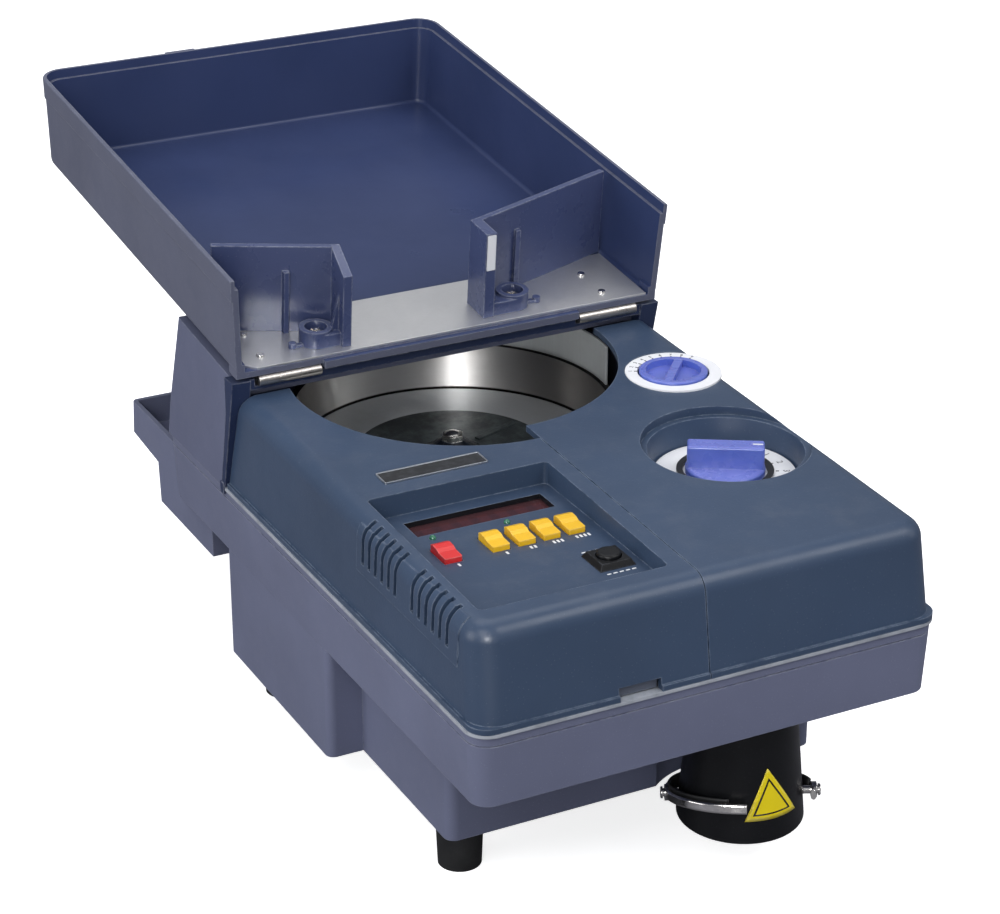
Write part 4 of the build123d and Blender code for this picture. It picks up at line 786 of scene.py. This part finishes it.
def label_outline():
    """Thin dark line inside the label's edge, lying on the label."""
    def place(u, v, h):
        return on_tube(u, v, LABEL_GAP + LABEL_THICK + h)

    shapes = []
    for k in range(3):
        a, b = LINE_OUTER[k], LINE_OUTER[(k + 1) % 3]
        c, d = LINE_INNER[(k + 1) % 3], LINE_INNER[k]
        for i in range(LINE_STEPS):
            t0, t1 = i / LINE_STEPS, (i + 1) / LINE_STEPS
            quad = [lerp(a, b, t0), lerp(a, b, t1), lerp(d, c, t1), lerp(d, c, t0)]
            shapes.append(prism(quad, place, PANEL_PRINT))
    return joined(shapes)


piece("spout_label", *triangle_sheet(0.0128, 0.0240, LABEL_THICK, LABEL_GAP), LABEL, "base",
      "key_yellow", smooth=True)
piece("spout_label_line", *label_outline(), BLACK, "base", "black_plastic")

# Cross-section of the bag ring's liner: radius and height in millimetres
LINER_PROFILE = ((29.75, -1.9), (30.55, -1.9), (30.55, 2.4), (31.2, 2.9), (31.5, 3.5),
                 (31.1, 4.0), (30.2, 3.8), (29.75, 3.0))
LINER_ARC = (7.0, 254.0)          # degrees it covers, in the ring's own plane
LINER_STEPS = 84


def ring_liner():
    """Black rubber liner inside the bag ring, swept round most of it."""
    joint = joints["bag_ring_swing"]
    at, axis = Vector(joint["pos_m"]), Vector(joint["axis"])
    heading = math.atan2(axis.y, axis.x)
    slant = Matrix.Rotation(math.radians(RING_SLANT), 4, "X")
    turn = Matrix.Rotation(heading, 4, "Z") @ slant
    first, last = LINER_ARC
    verts, faces = [], []
    for k in range(LINER_STEPS + 1):
        a = math.radians(first + (last - first) * k / LINER_STEPS)
        for r, z in LINER_PROFILE:
            local = Vector((r * MM * math.cos(a), r * MM * math.sin(a), z * MM))
            verts.append(at + turn @ local)
    n = len(LINER_PROFILE)
    for k in range(LINER_STEPS):
        for i in range(n):
            j = (i + 1) % n
            faces.append((k * n + i, k * n + j, (k + 1) * n + j, (k + 1) * n + i))
    faces.append(tuple(range(n))[::-1])
    faces.append(tuple(LINER_STEPS * n + i for i in range(n)))
    piece("bag_ring_liner", verts, faces, FOOT, "bag_ring", "foot_rubber", smooth=True)


ring_liner()


def in_tray(x, v, w):
    """Tray coordinates in millimetres, from the hinge line, to the row frame."""
    hinge = Vector(joints["hopper_tilt"]["pos_m"])
    t = math.radians(HOPPER_SLOPE)
    return Vector((x * MM, hinge.y + (v * math.cos(t) - w * math.sin(t)) * MM,
                   hinge.z + (v * math.sin(t) + w * math.cos(t)) * MM))


FIN_FACE = 4.55                   # mm behind the hinge line
STICKER_THICK = 0.2               # mm


def fin_sticker():
    """Blank sticker on the right baffle's fin."""
    outline = round_bar(21.1, 40.4, 4.4, 18.0, 0.5)
    shape = prism(outline, lambda u, v, h: in_tray(u, FIN_FACE - h, v), STICKER_THICK)
    piece("fin_sticker", *shape, CREAM, "hopper", "dial_white")


fin_sticker()


# ---------------------------------------------------------------- stage, lights, camera
def stage():
    """Pale floor; it glows for the camera only, so that it lights nothing."""
    bpy.ops.mesh.primitive_plane_add(size=14, location=(0, 0, 0))
    floor = bpy.context.object
    floor.name = "studio_floor"
    g = Graph("studio_floor")
    seen = g.add("ShaderNodeLightPath").outputs["Is Camera Ray"]
    base = g.mix(g.noise(0.8, 3), (0.93, 0.93, 0.93, 1), (0.96, 0.96, 0.96, 1))
    base = g.mix(seen, (0.22, 0.22, 0.24, 1), base)
    glow = g.times(seen, 0.75)
    floor.data.materials.append(g.set(Base_Color=base, Roughness=0.9, Specular_IOR_Level=0.0,
                                      Emission_Color=(1, 1, 1, 1), Emission_Strength=glow))


def area(name, at, aim_z, size, power, glint=False):
    """Softbox aimed at a height on the Z axis; a glint one only makes highlights."""
    data = bpy.data.lights.new(name, "AREA")
    data.shape = "RECTANGLE"
    data.size, data.size_y = size
    data.energy = power
    lamp = bpy.data.objects.new(name, data)
    bpy.context.scene.collection.objects.link(lamp)
    lamp.visible_diffuse = not glint
    lamp.location = at
    lamp.rotation_mode = "QUATERNION"
    lamp.rotation_quaternion = (Vector((0, 0, aim_z)) - lamp.location).to_track_quat("-Z", "Y")


def world():
    """Grey sky by height for lighting, near white where the camera sees it."""
    w = bpy.data.worlds.new("studio")
    bpy.context.scene.world = w
    w.use_nodes = True
    tree = w.node_tree
    tree.nodes.clear()
    out = tree.nodes.new("ShaderNodeOutputWorld")
    back = tree.nodes.new("ShaderNodeBackground")
    coord = tree.nodes.new("ShaderNodeTexCoord")
    split = tree.nodes.new("ShaderNodeSeparateXYZ")
    ramp = tree.nodes.new("ShaderNodeValToRGB")
    tree.links.new(coord.outputs["Generated"], split.inputs[0])
    tree.links.new(split.outputs[Z], ramp.inputs[0])
    stops = ramp.color_ramp.elements
    stops[0].position, stops[0].color = 0.0, (0.30, 0.30, 0.32, 1)
    stops[1].position, stops[1].color = 0.75, (0.36, 0.37, 0.40, 1)
    middle = stops.new(0.25)
    middle.color = (0.24, 0.25, 0.27, 1)
    seen = tree.nodes.new("ShaderNodeLightPath")
    pale = tree.nodes.new("ShaderNodeMix")
    pale.data_type = "RGBA"
    pale.inputs[7].default_value = (0.99, 0.99, 0.99, 1)
    tree.links.new(seen.outputs["Is Camera Ray"], pale.inputs[0])
    tree.links.new(ramp.outputs[0], pale.inputs[6])
    tree.links.new(pale.outputs[2], back.inputs[0])
    back.inputs[1].default_value = 1.0
    tree.links.new(back.outputs[0], out.inputs[0])


CAMERA_AT = (-0.5429, -1.1142, 0.6802)
CAMERA_LOOK = (0.4135, 0.8074, -0.4209)
LENS_MM, SENSOR_MM = 103.5, 36


def camera():
    """The camera at the photograph's viewing angle."""
    data = bpy.data.cameras.new("camera")
    cam = bpy.data.objects.new("camera", data)
    bpy.context.scene.collection.objects.link(cam)
    data.sensor_width = SENSOR_MM
    data.sensor_fit = "HORIZONTAL"
    data.lens = LENS_MM
    data.clip_start, data.clip_end = 0.05, 60
    cam.location = CAMERA_AT
    cam.rotation_mode = "QUATERNION"
    cam.rotation_quaternion = Vector(CAMERA_LOOK).to_track_quat("-Z", "Y")
    bpy.context.scene.camera = cam


stage()
world()
camera()
area("key_softbox", (-1.1, -0.9, 1.5), 0.12, (0.9, 0.9), 10)
area("side_softbox", (-1.7, 0.1, 0.55), 0.12, (0.9, 0.9), 10)
area("low_softbox", (-0.78, -1.25, 0.62), 0.12, (0.45, 0.45), 3)
area("bowl_glint", (-0.76, -1.27, 0.66), 0.12, (0.3, 0.3), 11, glint=True)
area("fill_softbox", (1.5, -1.0, 0.9), 0.1, (1.2, 1.0), 4)
area("top_softbox", (0.1, 0.5, 1.6), 0.1, (1.4, 1.0), 8)
area("ring_softbox", (0.75, -1.0, 1.5), 0.13, (0.8, 0.8), 9)
bpy.context.scene.view_settings.view_transform = "Standard"
bpy.context.scene.view_settings.look = "None"
